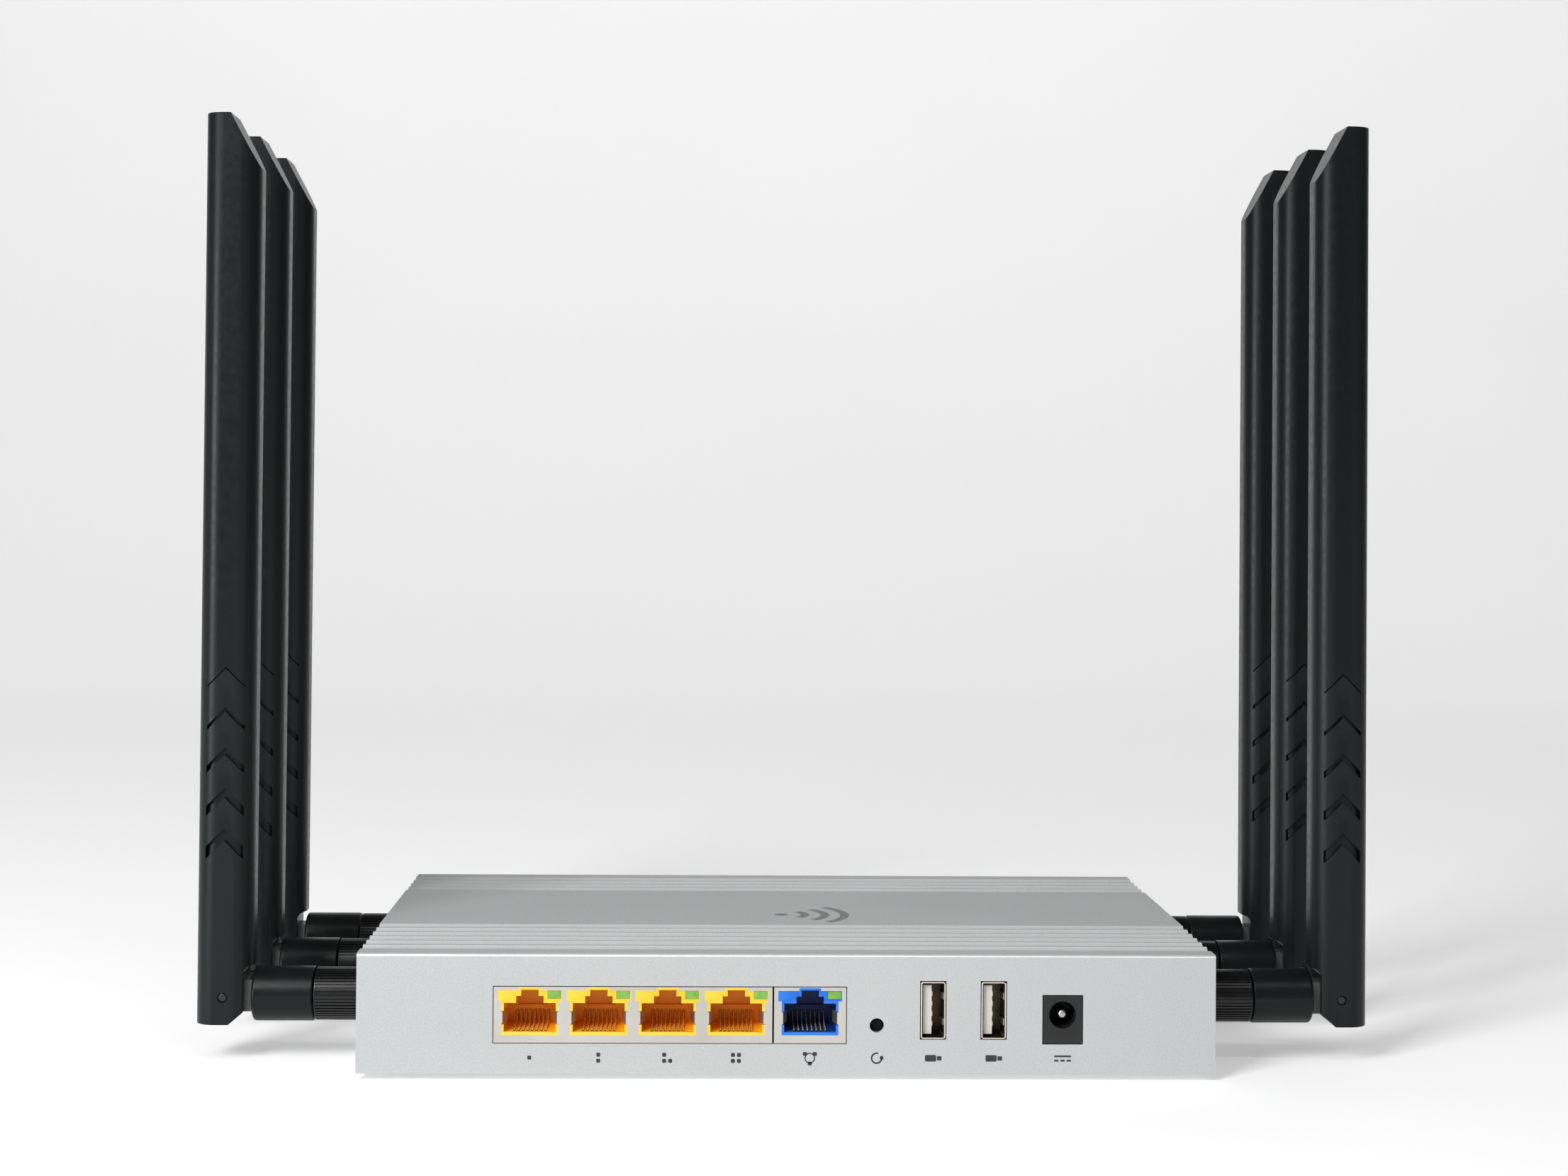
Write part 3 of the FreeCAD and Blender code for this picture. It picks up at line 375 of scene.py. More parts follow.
# Deeper orange and darker blue copies of the socket plastics for the faces inside the sockets: painted shade.
YELLOW_PAINTED_SHADE = moulded("yellow_plastic_painted_shade", (0.95, 0.40, 0.006), (0.98, 0.46, 0.010), 0.42, 0.06, 1200,
                      0.015, gloss=0.3)
BLUE_PAINTED_SHADE = moulded("blue_plastic_painted_shade", (0.003, 0.030, 0.17), (0.005, 0.040, 0.22), 0.42, 0.06, 1200,
                    0.015, gloss=0.3)
WHITE = moulded("white_plastic", (0.50, 0.50, 0.46), (0.56, 0.56, 0.52), 0.42, 0.06, 1200, 0.015,
                (0.66, 0.65, 0.61))
BLACK = moulded("black_plastic", (0.010, 0.010, 0.011), (0.014, 0.014, 0.016), 0.48, 0.07, 1100, 0.03,
                (0.03, 0.03, 0.03), 0.35)
# Near-black plunger: its own black plastic, darkened further as painted shadow inside the reset hole.
SHADOW = moulded("plunger_black_painted_shadow", (0.003, 0.003, 0.003), (0.005, 0.005, 0.005), 0.7, 0.05, 1100, 0.02,
                 gloss=0.1)
RUBBER = moulded("rubber", (0.016, 0.016, 0.016), (0.025, 0.025, 0.024), 0.75, 0.08, 800, 0.05)
BOARD = moulded("board_green", (0.010, 0.075, 0.030), (0.014, 0.100, 0.045), 0.40, 0.08, 600, 0.03)
CHIP = moulded("chip_black", (0.020, 0.020, 0.021), (0.032, 0.032, 0.033), 0.60, 0.07, 1200, 0.03)
LEAD = moulded("lead_black", (0.018, 0.018, 0.018), (0.028, 0.028, 0.028), 0.45, 0.08, 900, 0.02)
INK = moulded("print_grey", (0.030, 0.031, 0.032), (0.042, 0.043, 0.044), 0.60, 0.06, 1500, 0.005, gloss=0.3)
SILVER_INK = moulded("print_silver_grey", (0.16, 0.165, 0.165), (0.20, 0.205, 0.205), 0.55, 0.06, 1500, 0.005)
TIN = plated("tinned_steel", (0.62, 0.60, 0.55), (0.72, 0.70, 0.66), 0.38, 0.08, (1, 1, 0.2))
USB_STEEL = plated("usb_steel", (0.74, 0.70, 0.60), (0.82, 0.78, 0.70), 0.30, 0.08, (1, 0.3, 1))
STEEL = plated("steel", (0.48, 0.48, 0.47), (0.58, 0.58, 0.57), 0.32, 0.08, (0.3, 1, 1))
SINK = plated("sink_aluminium", (0.55, 0.56, 0.57), (0.65, 0.66, 0.67), 0.42, 0.08, (1, 0.15, 1))
BRASS = plated("brass", (0.72, 0.50, 0.20), (0.80, 0.58, 0.26), 0.30, 0.08, (0.2, 1, 1))
GOLD = plated("gold_contact", (0.90, 0.66, 0.28), (0.96, 0.76, 0.42), 0.30, 0.06, (1, 0.2, 1), 0.6)
# Dark brown copy of the USB steel for the shells' throats: painted shade.
USB_STEEL_PAINTED_SHADE = plated("usb_steel_painted_shade", (0.10, 0.08, 0.06), (0.14, 0.115, 0.09), 0.45, 0.08)
GREEN_LENS = clear_plastic("green_lens", (0.15, 0.38, 0.045), (0.26, 0.54, 0.09), 0.15, 0.1)
CLEAR = clear_plastic("clear_plastic", (0.80, 0.82, 0.80), (0.88, 0.90, 0.88), 0.18, 0.6)


def dress(obj, material, body, slot, *stands_for):
    """Finish, body and material slot of a new piece, and the nodes that it stands for. The slot argument is
    not used.
    """
    obj.data.materials.clear()
    obj.data.materials.append(material)
    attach(obj, body)
    if stands_for:
        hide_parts(*stands_for)


def paint_shade_inside(obj, material, panel_y):
    """Faces that lie behind the face plate take the second finish, a deeper colour that is painted shade
    inside the socket.
    """
    lip, rim = 1.5 * mm, 0.3 * mm
    split(obj, (0, panel_y + lip, 0), (0, 1, 0))
    paint(obj, material, lambda face:
          face.calc_center_median().y > panel_y + (lip if face.normal.z > 0.7 else rim))


def dress_node(name, material):
    """A carried-over node keeps its shape and gets a full finish."""
    slots = nodes[name].data.materials
    for i in range(len(slots)):
        slots[i] = material
    if not len(slots):
        slots.append(material)


# ---- case ----

def case_cover():
    """Folded sheet: soft long bends, two groups of scalloped grooves, and the socket openings."""
    low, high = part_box("top_cover")
    panel_y = low.y + PRINT
    cover = block("Top_Cover", (low.x, panel_y, low.z), high)
    round_edges(cover, lambda e: along(e, 0) and near(middle_of(e).z, high.z), BEND, 6)
    groove_w, depth, pitch = 5.0 * mm, 0.85 * mm, 6.0 * mm
    front_start, back_start = low.y + 8.5 * mm, high.y - 9.5 * mm
    radius = (groove_w ** 2 / 4 + depth ** 2) / (2 * depth)
    rows = [front_start + i * pitch for i in range(6)] + [back_start - i * pitch for i in range(4)]
    length = high.x - low.x + 2 * mm
    for y in rows:
        cut(cover, rod("groove", (low.x - 1 * mm, y, high.z + radius - depth), "X", radius, length, 144))
    cut(cover, block("hollow", (low.x - 1 * mm, low.y + SHEET, low.z - 1 * mm),
                     (high.x + 1 * mm, high.y - SHEET, high.z - ROOF)))
    gap = 0.2 * mm
    through = (low.y - 1 * mm, low.y + SHEET + 1 * mm)
    lan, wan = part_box("lan_jack_shield"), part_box("wan_jack_shield")
    dc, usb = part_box("dc_jack_body"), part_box("usb_shells")
    windows = [(lan[0].x, wan[1].x, lan[0].z, lan[1].z), (dc[0].x, dc[1].x, dc[0].z, dc[1].z),
               (usb[0].x, usb[0].x + USB_WIDTH, usb[0].z, usb[1].z),
               (usb[1].x - USB_WIDTH, usb[1].x, usb[0].z, usb[1].z)]
    for x0, x1, z0, z1 in windows:
        cut(cover, block("window", (x0 - gap, through[0], z0 - gap), (x1 + gap, through[1], z1 + gap)))
    button, button_hole = centre("reset_button"), 1.65 * mm
    cut(cover, rod("hole", (button.x, through[0], button.z), "Y", button_hole, through[1] - through[0], 48))
    lights, light_pitch, light_w, light_h = 7, 9.0 * mm, 1.6 * mm, 0.7 * mm
    z = centre("antenna_jacks").z
    for i in range(lights):
        x = (i - 3) * light_pitch
        cut(cover, block("slot", (x - light_w, high.y - SHEET - 1 * mm, z - light_h),
                         (x + light_w, high.y + 1 * mm, z + light_h)))
    soften(cover, 0.12 * mm, 2, 50)
    smooth(cover, 25)
    dress(cover, METAL, "case", "case_metal", "top_cover")

    # The front bend's faces take a painted highlight.
    def painted_highlight_on_bend(face):
        spot = face.calc_center_median()
        leaning = face.normal.y < -0.3 and face.normal.z > 0.3
        return leaning and spot.y < panel_y + BEND and spot.z > high.z - BEND

    # The groove faces take painted light: a lighter colour of the same metal.
    def in_groove(face):
        spot = face.calc_center_median()
        margin = 5 * mm
        sunk = face.normal.z > 0.7 and spot.z < high.z - 0.005 * mm
        return sunk and low.y + margin < spot.y < high.y - margin
    paint(cover, METAL_BEND_PAINTED_HIGHLIGHT, painted_highlight_on_bend)
    paint(cover, METAL_GROOVE_PAINTED_LIGHT, in_groove)


def rubber_feet():
    """Four stick-on feet with a rounded rim and a shallow dished tread."""
    low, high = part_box("rubber_feet")
    radius = 6.0 * mm
    pieces = []
    for x in (low.x + radius, high.x - radius):
        for y in (low.y + radius, high.y - radius):
            foot = rod("foot", (x, y, low.z), "Z", radius, high.z - low.z, 64)
            choose(foot, "FACE", lambda face: face.normal.z < -0.9)
            bpy.ops.mesh.inset(thickness=1.2 * mm, depth=0)
            bpy.ops.mesh.inset(thickness=0.3 * mm, depth=-0.25 * mm)
            leave()
            round_edges(foot, lambda e: near(middle_of(e).z, low.z) and near(
                (middle_of(e).xy - Vector((x, y))).length, radius, 0.1 * mm), 0.45 * mm, 4)
            pieces.append(foot)
    feet = together("Rubber_Feet", pieces)
    smooth(feet)
    dress(feet, RUBBER, "case", "rubber", "rubber_feet")


def case_screws():
    """Pan-head screws with a cross recess."""
    low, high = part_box("case_screws")
    head, head_h, shank_inset = 2.6 * mm, 1.0 * mm, 1.35 * mm
    pieces = []
    for x in (low.x + head, high.x - head):
        for y in (low.y + head, high.y - head):
            screw = rod("screw", (x, y, low.z), "Z", head, head_h, 40)
            round_edges(screw, lambda e: near(middle_of(e).z, low.z), 0.45 * mm, 4)
            for w, d in ((0.45 * mm, 1.6 * mm), (1.6 * mm, 0.45 * mm)):
                cut(screw, block("recess", (x - w, y - d, low.z - 1 * mm), (x + w, y + d, low.z + 0.7 * mm)))
            choose(screw, "FACE", lambda face: face.normal.z > 0.99 and near(
                face.calc_center_median().z, low.z + head_h))
            bpy.ops.mesh.inset(thickness=shank_inset, depth=0)
            extrude((0, 0, high.z - low.z - head_h))
            leave()
            pieces.append(screw)
    screws = together("Cover_Screws", pieces)
    smooth(screws)
    dress(screws, STEEL, "case", "steel", "case_screws")


# ---- sockets ----

def stepped(name, x, y0, y1, levels):
    """Blocks stacked on each other, each (half width, bottom, top), united."""
    first, rest = levels[0], levels[1:]
    shape = block(name, (x - first[0], y0, first[1]), (x + first[0], y1, first[2]))
    for half, low, high in rest:
        add(shape, block("level", (x - half, y0, low), (x + half, y1, high)))
    return shape


def jack_housing(x, base, panel_y):
    """One moulded network socket: stepped face, plug cavity with a latch step, and a comb at the back."""
    z = lambda h: base + h * mm
    y = lambda d: panel_y + d * mm
    face = stepped("Jack_Housing", x, y(0), y(0.6), [
        (6.55 * mm, z(1.8), z(9.7)), (7.35 * mm, z(9.6), z(12.0)), (2.5 * mm, z(11.9), z(12.65))])
    add(face, block("body", (x - 7.8 * mm, y(0.3), z(0.1)), (x + 7.8 * mm, y(16.7), z(12.5))))
    cavity = stepped("cavity", x, y(-1), y(12.5), [
        (5.95 * mm, z(2.5), z(9.1)), (3.15 * mm, z(9.0), z(10.7)), (2.0 * mm, z(10.6), z(12.1))])
    cut(face, cavity)
    cut(face, block("notch", (x - 7.0 * mm, y(-1), z(4.15)), (x + 7.0 * mm, y(4.15), z(7.25))))
    cut(face, block("lamp bore", (x + 4.05 * mm, y(-1), z(10.1)), (x + 7.15 * mm, y(12.55), z(11.95))))
    comb_half, slot_half = 0.30 * mm, 0.27 * mm
    for i in range(8):
        slot_x = x + (i - 3.5) * WIRE_PITCH
        cut(face, block("comb", (slot_x - comb_half, y(12.0), z(2.7)), (slot_x + comb_half, y(14.0), z(5.3))))
        cut(face, block("floor slot", (slot_x - slot_half, y(0.9), z(1.9)),
                        (slot_x + slot_half, y(6.0), z(2.9))))
    cut(face, block("back recess", (x - 3.35 * mm, y(12.0), z(6.4)), (x + 3.35 * mm, y(13.4), z(8.3))))
    soften(face, 0.10 * mm, 2, 60)
    return smooth(face, 30)


def socket_places():
    """Middles along X of the four yellow sockets and the blue one, then their common face and zero height."""
    low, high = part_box("lan_jack_housings")
    pitch = (high.x - low.x - 2 * SOCKET_HALF) / 3
    yellow = [low.x + SOCKET_HALF + i * pitch for i in range(4)]
    return yellow + [centre("wan_jack_housing").x], low.y, low.z - SOCKET_FLOOR


def network_sockets():
    """Four yellow sockets in one piece and a blue one, from one model."""
    sockets, panel_y, base = socket_places()
    model = jack_housing(sockets[0], base, panel_y)
    yellow = [copy_of(model, "yellow", shift=(x - sockets[0], 0, 0)) for x in sockets[1:4]]
    blue = copy_of(model, "Wan_Jack_Housing", shift=(sockets[4] - sockets[0], 0, 0))
    lan = together("Lan_Jack_Housings", [model] + yellow)
    dress(lan, YELLOW, "case", "yellow_plastic", "lan_jack_housings")
    dress(blue, BLUE, "case", "blue_plastic", "wan_jack_housing")
    # The sockets' insides take painted shade.
    paint_shade_inside(lan, YELLOW_PAINTED_SHADE, panel_y)
    paint_shade_inside(blue, BLUE_PAINTED_SHADE, panel_y)


def contact_wires():
    """Eight thin spring wires in each socket: a bright tip at the floor, then back and up into the comb."""
    sockets, panel_y, base = socket_places()
    start, half, tip = sockets[0] - 3.5 * WIRE_PITCH, 0.15 * mm, panel_y + 2.0 * mm
    wire = block("wire", (start - half, tip, base + 2.5 * mm),
                 (start + half, tip + 0.7 * mm, base + 2.8 * mm))
    round_edges(wire, lambda e: near(middle_of(e).y, tip), 0.1 * mm, 2)
    choose(wire, "FACE", lambda face: face.normal.y > 0.9)
    for step in ((0, 6.8 * mm, 0.25 * mm), (0, 0.9 * mm, 0.35 * mm), (0, 1.9 * mm, 1.75 * mm)):
        extrude(step)
    leave()
    tidy_normals(wire)
    wires = [wire]
    for socket in sockets:
        for i in range(8):
            if socket != sockets[0] or i:
                wires.append(copy_of(wire, "wire", shift=(socket - sockets[0] + i * WIRE_PITCH, 0, 0)))
    whole = together("Jack_Contacts", wires)
    smooth(whole, 30)
    dress(whole, GOLD, "case", "gold_contact", "jack_contacts")


def bow(leaf, crest, height, radius):
    """Bends a flat leaf spring out along X to a rounded crest."""
    split(leaf, (0, crest, 0), (0, 1, 0))
    choose(leaf, "VERT", lambda vertex: near(vertex.co.y, crest))
    bpy.ops.transform.translate(value=(height, 0, 0))
    leave()
    round_edges(leaf, lambda e: along(e, 2) and near(middle_of(e).y, crest), radius, 3)


def shield_springs():
    """A small bowed spring in the notch at each side of every socket."""
    sockets, panel_y, base = socket_places()
    front, back, crest = panel_y + 0.4 * mm, panel_y + 4.0 * mm, panel_y + 1.8 * mm
    leaf = block("leaf", (sockets[0] - 6.98 * mm, front, base + 4.8 * mm),
                 (sockets[0] - 6.8 * mm, back, base + 6.6 * mm))
    bow(leaf, crest, 0.55 * mm, 0.5 * mm)
    twin = copy_of(leaf, "leaf", True, (2 * sockets[0], front + back, 0))
    leaves = [leaf, twin]
    for socket in sockets[1:]:
        leaves.append(copy_of(leaf, "leaf", shift=(socket - sockets[0], 0, 0)))
        leaves.append(copy_of(twin, "leaf", shift=(socket - sockets[0], 0, 0)))
    springs = together("Shield_Springs", leaves)
    smooth(springs, 50)
    dress(springs, TIN, "case", "tinned_steel")


def usb_shells():
    """Two standing metal shells: rounded corners, a thin rolled lip, a throat darkened with painted shade and
    two grip springs.
    """
    low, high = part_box("usb_shells")
    width, lip, depth = USB_WIDTH, 0.3 * mm, 9.3 * mm
    crest, leaf_half, leaf_area = low.y + 5.2 * mm, 0.75 * mm, 8e-6
    shells = []
    for x in (low.x, high.x - width):
        shell = block("Usb_Shells", (x, low.y, low.z), (x + width, high.y, high.z))
        round_edges(shell, lambda e: along(e, 1), 0.6 * mm, 5)
        choose(shell, "FACE", lambda face: face.normal.y < -0.9)
        bpy.ops.mesh.inset(thickness=lip, depth=0)
        extrude((0, depth, 0))
        leave()
        round_edges(shell, lambda e: near(middle_of(e).y, low.y), 0.08 * mm, 2)
        for z in (-2.95 * mm, 2.95 * mm):
            middle = (low.z + high.z) / 2 + z
            leaf = block("leaf", (x + width - lip - 0.15 * mm, low.y + 1.8 * mm, middle - leaf_half),
                         (x + width - lip + 0.05 * mm, low.y + 7 * mm, middle + leaf_half))
            bow(leaf, crest, -0.65 * mm, 0.6 * mm)
            shells.append(leaf)
        shells.append(shell)
    whole = together("Usb_Shells", shells)
    smooth(whole)
    dress(whole, USB_STEEL, "case", "usb_steel", "usb_shells")

    # The throat faces take painted shade.
    def throat(face):
        spot = face.calc_center_median()
        inside_x = min(abs(spot.x - low.x), abs(spot.x - low.x - width), abs(spot.x - high.x),
                       abs(spot.x - high.x + width)) > lip * 0.9
        inside_z = low.z + lip * 0.9 < spot.z < high.z - lip * 0.9
        return (inside_x and inside_z and low.y + lip < spot.y < low.y + depth + 0.1 * mm
                and face.calc_area() > leaf_area)
    paint(whole, USB_STEEL_PAINTED_SHADE, throat)


def dc_inlet():
    """Moulded power inlet: softened block, a plain round bore and a round-tipped pin."""
    low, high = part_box("dc_jack_body")
    pin = centre("dc_jack_pin")
    body = block("Dc_Inlet", low, high)
    cut(body, rod("bore", (pin.x, low.y - 1 * mm, pin.z), "Y", 3.1 * mm, 11 * mm, 64))
    soften(body, 0.15 * mm, 3, 40)
    smooth(body)
    dress(body, BLACK, "case", "black_plastic", "dc_jack_body")
    pin_low, pin_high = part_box("dc_jack_pin")
    post = rod("Dc_Inlet_Pin", (pin.x, pin_low.y, pin.z), "Y", 1.0 * mm, pin_high.y - pin_low.y, 40)
    round_edges(post, lambda e: near(middle_of(e).y, pin_low.y), 0.55 * mm, 5)
    smooth(post, 50)
    dress(post, STEEL, "case", "steel", "dc_jack_pin")


def reset_plunger():
    low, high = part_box("reset_button")
    middle = (low + high) / 2
    plunger = rod("Reset_Plunger", (middle.x, low.y, middle.z), "Y", (high.x - low.x) / 2, high.y - low.y, 48)
    round_edges(plunger, lambda e: near(middle_of(e).y, low.y), 0.35 * mm, 4)
    smooth(plunger, 50)
    dress(plunger, SHADOW, "reset_button", "black_plastic", "reset_button")


# ---- antennas ----

def collar_model():
    """Coupling nut with straight knurling between two plain rims."""
    low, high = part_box("collar_right_middle")
    axis = centre("collar_right_middle")
    sides, ridges = 192, 48
    collar = rod("collar", (low.x, axis.y, axis.z), "X", (high.z - low.z) / 2, high.x - low.x, sides)
    round_edges(collar, lambda e: not along(e, 0), 0.35 * mm, 3)

    def in_groove(face):
        spot = face.calc_center_median() - axis
        if abs(face.normal.x) > 0.1 or face.calc_area() < 1e-7:
            return False
        step = math.degrees(math.atan2(spot.z, spot.y)) % 360 / (360 / ridges)
        return step % 1 > 0.5
    choose(collar, "FACE", in_groove)
    bpy.ops.mesh.inset(thickness=0.07 * mm, depth=-0.33 * mm, use_even_offset=True)
    leave()
    bore = rod("bore", (low.x - 1 * mm, axis.y, axis.z), "X", 5.1 * mm, 1 * mm + 1.9 * mm, 64)
    cut(collar, bore)
    cut(collar, rod("bore", (low.x - 1 * mm, axis.y, axis.z), "X", 3.19 * mm, 1 * mm + 9.5 * mm, 64))
    cut(collar, rod("bore", (low.x - 1 * mm, axis.y, axis.z), "X", 2.64 * mm, 20 * mm, 64))
    return smooth(collar, 28)


def barrel_model():
    """Turned barrel with a rounded outer rim, a seam step next to the collar and a neck inside it."""
    pin = centre("hinge_pin_right_middle")
    collar_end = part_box("collar_right_middle")[1].x
    start, end, radius = collar_end + 0.3 * mm, pin.x - BARREL_END, 6.4 * mm
    barrel = rod("barrel", (start, pin.y, pin.z), "X", radius, end - start, 96)
    round_edges(barrel, lambda e: not along(e, 0) and near(middle_of(e).x, end), 0.8 * mm, 6)
    round_edges(barrel, lambda e: not along(e, 0) and near(middle_of(e).x, start), 0.3 * mm, 3)
    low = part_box("barrel_right_middle")[0]
    add(barrel, rod("spigot", (low.x, pin.y, pin.z), "X", 2.6 * mm, start - low.x + 1 * mm, 48))
    return smooth(barrel, 30)


def tongue_model():
    """The barrel's flat tongue, round about the hinge pin, with chamfered edges."""
    pin = centre("hinge_pin_right_middle")
    start, half_t, half_h = pin.x - BARREL_END - 1 * mm, 3.5 * mm, 3.7 * mm
    arm = block("arm", (start, pin.y - half_t, pin.z - half_h), (pin.x, pin.y + half_t, pin.z + half_h))
    add(arm, rod("eye", (pin.x, pin.y - half_t, pin.z), "Y", half_h, 2 * half_t, 64))
    cut(arm, rod("eye", (pin.x, pin.y - half_t - 1 * mm, pin.z), "Y", 1.14 * mm, 2 * half_t + 2 * mm, 48))
    soften(arm, 0.6 * mm, 2, 60)
    return smooth(arm, 30)


def arrow(pin, apex, band, side):
    """A block bent up at its middle into an arrow, on one side of the pin along Y."""
    half, reach = 4.4 * mm, 8 * mm
    y0, y1 = sorted((pin.y, pin.y + side * reach))
    bar = block("arrow", (pin.x - half, y0, apex - half - band), (pin.x + half, y1, apex - half))
    split(bar, (pin.x, 0, 0), (1, 0, 0))
    choose(bar, "VERT", lambda vertex: near(vertex.co.x, pin.x))
    bpy.ops.transform.translate(value=(0, 0, half))
    leave()
    return bar


def blade_model():
    """Hollow-looking paddle: rounded section, bevelled top, forked foot and arrow recesses on both faces."""
    low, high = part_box("blade_right_middle")
    pin = centre("hinge_pin_right_middle")
    shaft = block("blade", low, high)
    round_edges(shaft, lambda e: along(e, 2), 4.8 * mm, 12)
    flat, bevel_h = 6.2 * mm, 13.3 * mm
    width = high.x - low.x
    slice_off(shaft, (high.x - flat, 0, high.z), (-bevel_h, 0, width - flat))
    cheek, relief_top = pin.x - 4.6 * mm, pin.z + 7.2 * mm
    relief = block("relief", (low.x - 5 * mm, low.y - 1 * mm, low.z - 5 * mm),
                   (cheek, high.y + 1 * mm, relief_top))
    round_edges(relief, lambda e: along(e, 1) and near(middle_of(e).x, cheek)
                and near(middle_of(e).z, relief_top), 1.9 * mm, 6)
    cut(shaft, relief)
    foot_h, foot_w = 2.7 * mm, 3.2 * mm
    slice_off(shaft, (cheek, 0, low.z + foot_h), (-foot_h, 0, -foot_w))
    round_edges(shaft, lambda e: along(e, 1) and middle_of(e).z < low.z + 3.5 * mm, 1.4 * mm, 5)
    soften(shaft, 0.7 * mm, 4, 32)
    slot_half, reach = 3.6 * mm, 3.85 * mm
    cut(shaft, block("slot", (low.x - 5 * mm, pin.y - slot_half, low.z - 5 * mm),
                     (pin.x + reach, pin.y + slot_half, pin.z + reach)))
    cut(shaft, rod("pin hole", (pin.x, low.y - 1 * mm, pin.z), "Y", 1.18 * mm, high.y - low.y + 2 * mm, 40))
    soften(shaft, 0.10 * mm, 2, 38)
    inset = 1.0 * mm
    for level in range(5):
        apex, band = (39.8 + 9.5 * level) * mm, (2.9 - 0.62 * level) * mm
        for side in (-1, 1):
            core = block("core", (low.x + inset, low.y + inset, low.z),
                         (high.x - inset, high.y - inset, high.z))
            round_edges(core, lambda e: along(e, 2), 3.8 * mm, 12)
            tool = arrow(pin, pin.z + apex, band, side)
            cut(tool, core)
            cut(shaft, tool)
    return smooth(shaft, 30)


def pin_model():
    low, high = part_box("hinge_pin_right_middle")
    middle = (low + high) / 2
    pin = rod("pin", (middle.x, low.y, middle.z), "Y", 1.1 * mm, high.y - low.y, 48)
    round_edges(pin, lambda e: not along(e, 1), 0.4 * mm, 4)
    return smooth(pin, 50)


def antennas():
    """One of each antenna part, then copies in every row and at both ends."""
    models = (("collar", collar_model(), KNURL, "knurl_black", "collar_"),
              ("barrel", barrel_model(), ANTENNA, "antenna_black", "barrel_"),
              # The tongue takes the painted-light grey of the black plastic.
              ("tongue", tongue_model(), TONGUE_PAINTED_LIGHT, "antenna_black", "barrel_"),
              ("blade", blade_model(), ANTENNA, "antenna_black", "blade_"),
              ("hinge_pin", pin_model(), PIN, "pin_black", "blade_"))
    for part, model, material, slot, body in models:
        for side_name, side in SIDES:
            for row in ROWS:
                tail = side_name + "_" + row
                y = centre("hinge_pin_" + tail).y
                twin = copy_of(model, "Antenna_" + part + "_" + tail, side < 0, (0, y, 0))
                node = "barrel" if part == "tongue" else part
                dress(twin, material, body + tail, slot, node + "_" + tail)
        bpy.data.objects.remove(model)


# ---- printed marks ----

def tile(name, x, z, w, h, y0, y1):
    shape = block(name, (x - w / 2, y0, z - h / 2), (x + w / 2, y1, z + h / 2))
    round_edges(shape, lambda e: along(e, 1), min(w, h) * 0.2, 3)
    return shape


def ring(name, x, z, radius, width, y0, y1, start, sweep):
    """Part of a flat ring, spun from one small end face."""
    inner, outer, sliver = x + radius - width / 2, x + radius + width / 2, width / 20
    bar = block(name, (inner, y0, z - sliver), (outer, y1, z + sliver))
    choose(bar, "FACE", lambda face: face.normal.z > 0.9)
    bpy.ops.mesh.spin(steps=max(8, int(abs(sweep) * 12)), angle=sweep, center=(x, y0, z), axis=(0, -1, 0))
    leave()
    only(bar)
    bpy.ops.transform.rotate(value=start, orient_axis="Y", center_override=(x, y0, z))
    tidy_normals(bar)
    bpy.ops.object.transform_apply(location=True, rotation=True, scale=True)
    return bar


def panel_marks():
    """Generic signs under the sockets: port dots, a network ring, a turn arrow, sticks and direct current."""
    y0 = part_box("top_cover")[0].y
    y1 = y0 + MARK_THICK
    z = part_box("top_cover")[0].z + MARK_DROP
    sockets = socket_places()[0]
    dot, spread = 0.9 * mm, 0.69 * mm
    shapes = []
    for port, spots in enumerate((((0, 0),), ((0, 1), (0, -1)), ((-1, 1), (-1, -1), (1, -1)),
                                  ((-1, 1), (1, 1), (-1, -1), (1, -1)))):
        for i, j in spots:
            shapes.append(tile("dot", sockets[port] + i * spread, z + j * spread, dot, dot, y0, y1))
    wan = sockets[4]
    shapes.append(ring("net", wan, z, 1.1 * mm, 0.26 * mm, y0, y1, 0, 2 * math.pi))
    for i, j in ((-1.15, 0.95), (1.15, 0.95), (0, -1.25)):
        shapes.append(tile("node", wan + i * mm, z + j * mm, 0.95 * mm, 0.85 * mm, y0, y1))
    reset = centre("reset_button").x
    shapes.append(ring("turn", reset, z, 1.15 * mm, 0.36 * mm, y0, y1, 0, 1.6 * math.pi))
    shapes.append(tile("turn tip", reset + 1.15 * mm, z + 0.1 * mm, 0.8 * mm, 0.8 * mm, y0, y1))
    usb_low, usb_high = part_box("usb_shells")
    for x in (usb_low.x + USB_WIDTH / 2, usb_high.x - USB_WIDTH / 2):
        shapes.append(tile("stick", x - 0.55 * mm, z, 2.6 * mm, 1.5 * mm, y0, y1))
        shapes.append(tile("stick end", x + 1.45 * mm, z, 1.1 * mm, 1.0 * mm, y0, y1))
    dc = centre("dc_jack_pin").x
    shapes.append(tile("line", dc, z + 0.5 * mm, 3.9 * mm, 0.42 * mm, y0, y1))
    for i in (-1, 0, 1):
        shapes.append(tile("dash", dc + i * 1.45 * mm, z - 0.5 * mm, 1.0 * mm, 0.42 * mm, y0, y1))
    marks = together("Panel_Marks", shapes)
    smooth(marks, 60)
    dress(marks, INK, "case", "black_plastic")


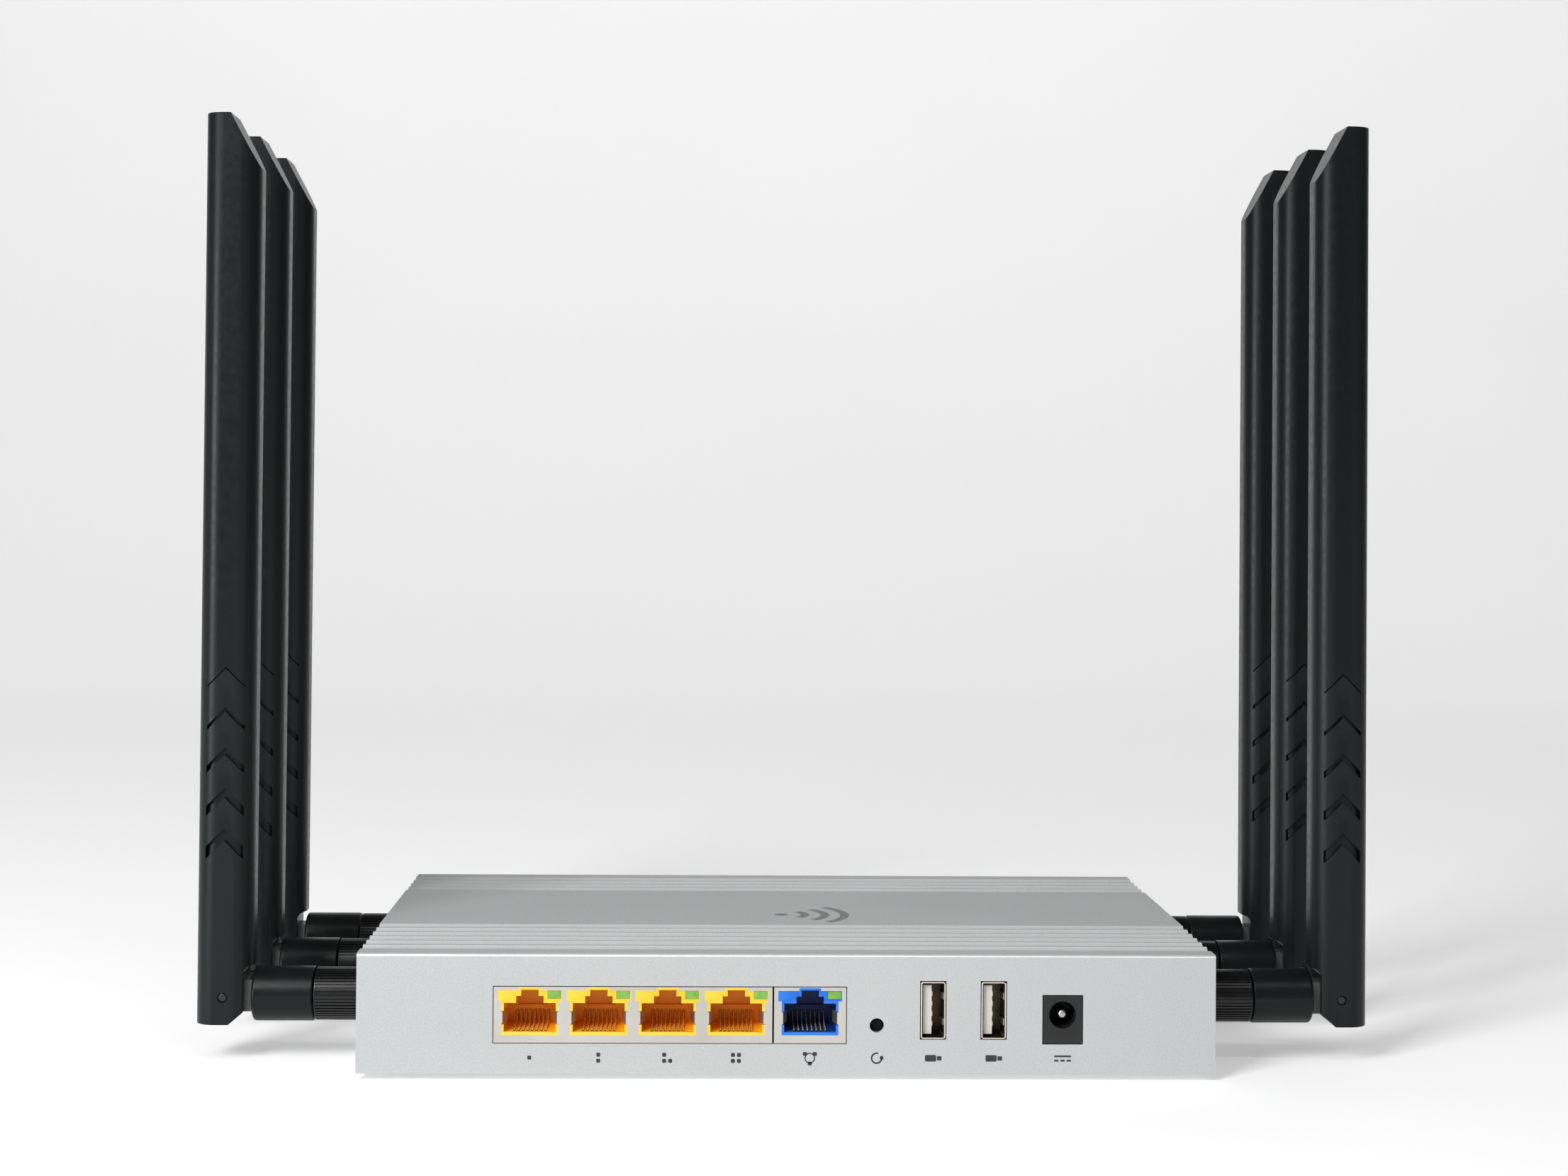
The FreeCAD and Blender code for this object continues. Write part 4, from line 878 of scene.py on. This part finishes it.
def top_mark():
    """A generic signal mark on the lid: one dot and three arcs."""
    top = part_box("top_cover")[1].z
    y_dot, half, sunk = -6.0 * mm, 1.1 * mm, 0.05 * mm
    dot = rod("Lid_Mark", (0, y_dot, top - sunk), "Z", 1.7 * mm, sunk + PRINT, 40)
    arcs = [dot]
    for radius in (6.0 * mm, 11.0 * mm, 16.0 * mm):
        bar = block("arc", (radius - half, y_dot - 0.1 * mm, top - sunk),
                    (radius + half, y_dot + 0.1 * mm, top + PRINT))
        choose(bar, "FACE", lambda face: face.normal.y > 0.9)
        bpy.ops.mesh.spin(steps=24, angle=math.pi / 2, center=(0, y_dot, top), axis=(0, 0, 1))
        leave()
        only(bar)
        bpy.ops.transform.rotate(value=-math.pi / 4, orient_axis="Z", center_override=(0, y_dot, top))
        bpy.ops.object.transform_apply(location=True, rotation=True, scale=True)
        tidy_normals(bar)
        arcs.append(bar)
    mark = together("Lid_Mark", arcs)
    smooth(mark, 60)
    dress(mark, SILVER_INK, "case", "case_metal")


# ---- carried-over nodes ----

def carried_over():
    """Finishes of the nodes that keep their own shape."""
    for name in ("bottom_plate", "end_plate_left", "end_plate_right"):
        dress_node(name, METAL)
    for name, material in (("main_board", BOARD), ("board_standoffs", BRASS), ("board_screws", STEEL),
                           ("board_chips", CHIP), ("heat_sink", SINK), ("rf_shield_cans", TIN),
                           ("status_light_pipes", CLEAR), ("lan_jack_shield", TIN), ("wan_jack_shield", TIN),
                           ("jack_light_pipes", GREEN_LENS), ("usb_tongues", WHITE), ("usb_contacts", GOLD),
                           ("reset_switch", BLACK), ("antenna_jacks", BRASS), ("antenna_jack_nuts", BRASS),
                           ("antenna_jack_cores", WHITE), ("coax_leads", LEAD)):
        dress_node(name, material)
    for side_name, _ in SIDES:
        for row in ROWS:
            dress_node("radiator_" + side_name + "_" + row, BRASS)


# ---- studio ----

def soft_light(name, place, target, size, power):
    bpy.ops.object.select_all(action="DESELECT")
    bpy.ops.object.light_add(type="AREA", location=place)
    lamp = bpy.context.object
    lamp.name = name
    lamp.data.shape = "RECTANGLE"
    lamp.data.size, lamp.data.size_y = size
    lamp.data.energy = power
    lamp.rotation_euler = (Vector(target) - Vector(place)).to_track_quat("-Z", "Y").to_euler()


def studio():
    """A pale paper sweep, two soft lamps from the left, a strip over the front and one on the paper behind."""
    bpy.ops.object.select_all(action="DESELECT")
    bpy.ops.mesh.primitive_plane_add(size=8, location=(0, -1.2, 0))
    sweep = settle("Paper_Sweep")
    back, rise, curve = 2.7, 2.0, 1.6
    choose(sweep, "EDGE", lambda e: middle_of(e).y > back)
    extrude((0, 0, rise))
    leave()
    round_edges(sweep, lambda e: along(e, 0) and near(middle_of(e).z, 0) and middle_of(e).y > back, curve, 32)
    only(sweep)
    bpy.ops.object.shade_smooth()
    paper = Finish("paper")
    paper.colour(paper.mix(paper.span(paper.noise(2, 2), 0, 1), (0.90, 0.90, 0.90), (0.93, 0.93, 0.93)))
    paper.roughness(paper.span(paper.noise(4, 2), 0.85, 0.97))
    paper.shader.inputs["Emission Color"].default_value = (1, 1, 1, 1)
    paper.shader.inputs["Emission Strength"].default_value = 0.35
    sweep.data.materials.append(paper.material)
    world = bpy.context.scene.world or bpy.data.worlds.new("World")
    bpy.context.scene.world = world
    world.use_nodes = True
    sky = world.node_tree.nodes["Background"]
    sky.inputs["Color"].default_value = (1, 1, 1, 1)
    sky.inputs["Strength"].default_value = 0.16
    soft_light("Key", (-0.52, -0.80, 0.68), (0, 0, 0.04), (0.35, 0.35), 7.6)
    soft_light("Side_Strip", (-1.10, -0.90, 0.17), (0, 0, 0.08), (0.50, 0.34), 6)
    soft_light("Edge_Strip", (-0.1, -0.85, 1.25), (0, 0, 0.03), (1.6, 0.10), 4)
    soft_light("Paper_Lamp", (0, 1.2, 2.2), (0, 3.4, 1.2), (3.0, 0.8), 14)


def camera():
    """Head-on, slightly above the case and a little left of its middle."""
    bpy.ops.object.select_all(action="DESELECT")
    yaw, tilt, lean = math.radians(-1.723), math.radians(90.981), math.radians(0.473)
    turn = Matrix.Rotation(yaw, 3, "Z") @ Matrix.Rotation(tilt, 3, "X") @ Matrix.Rotation(lean, 3, "Z")
    bpy.ops.object.camera_add(location=(-19.58 * mm, -648.6 * mm, 131.8 * mm), rotation=turn.to_euler())
    cam = bpy.context.object
    cam.name = "Camera"
    cam.data.sensor_width = 36.0
    cam.data.lens = 58.24
    cam.data.shift_y = -0.0789
    cam.data.clip_start = 0.02
    cam.data.clip_end = 50
    bpy.context.scene.camera = cam
    bpy.context.scene.view_settings.view_transform = "Standard"


camera()
studio()
case_cover()
rubber_feet()
case_screws()
network_sockets()
contact_wires()
shield_springs()
usb_shells()
dc_inlet()
reset_plunger()
antennas()
panel_marks()
top_mark()
carried_over()
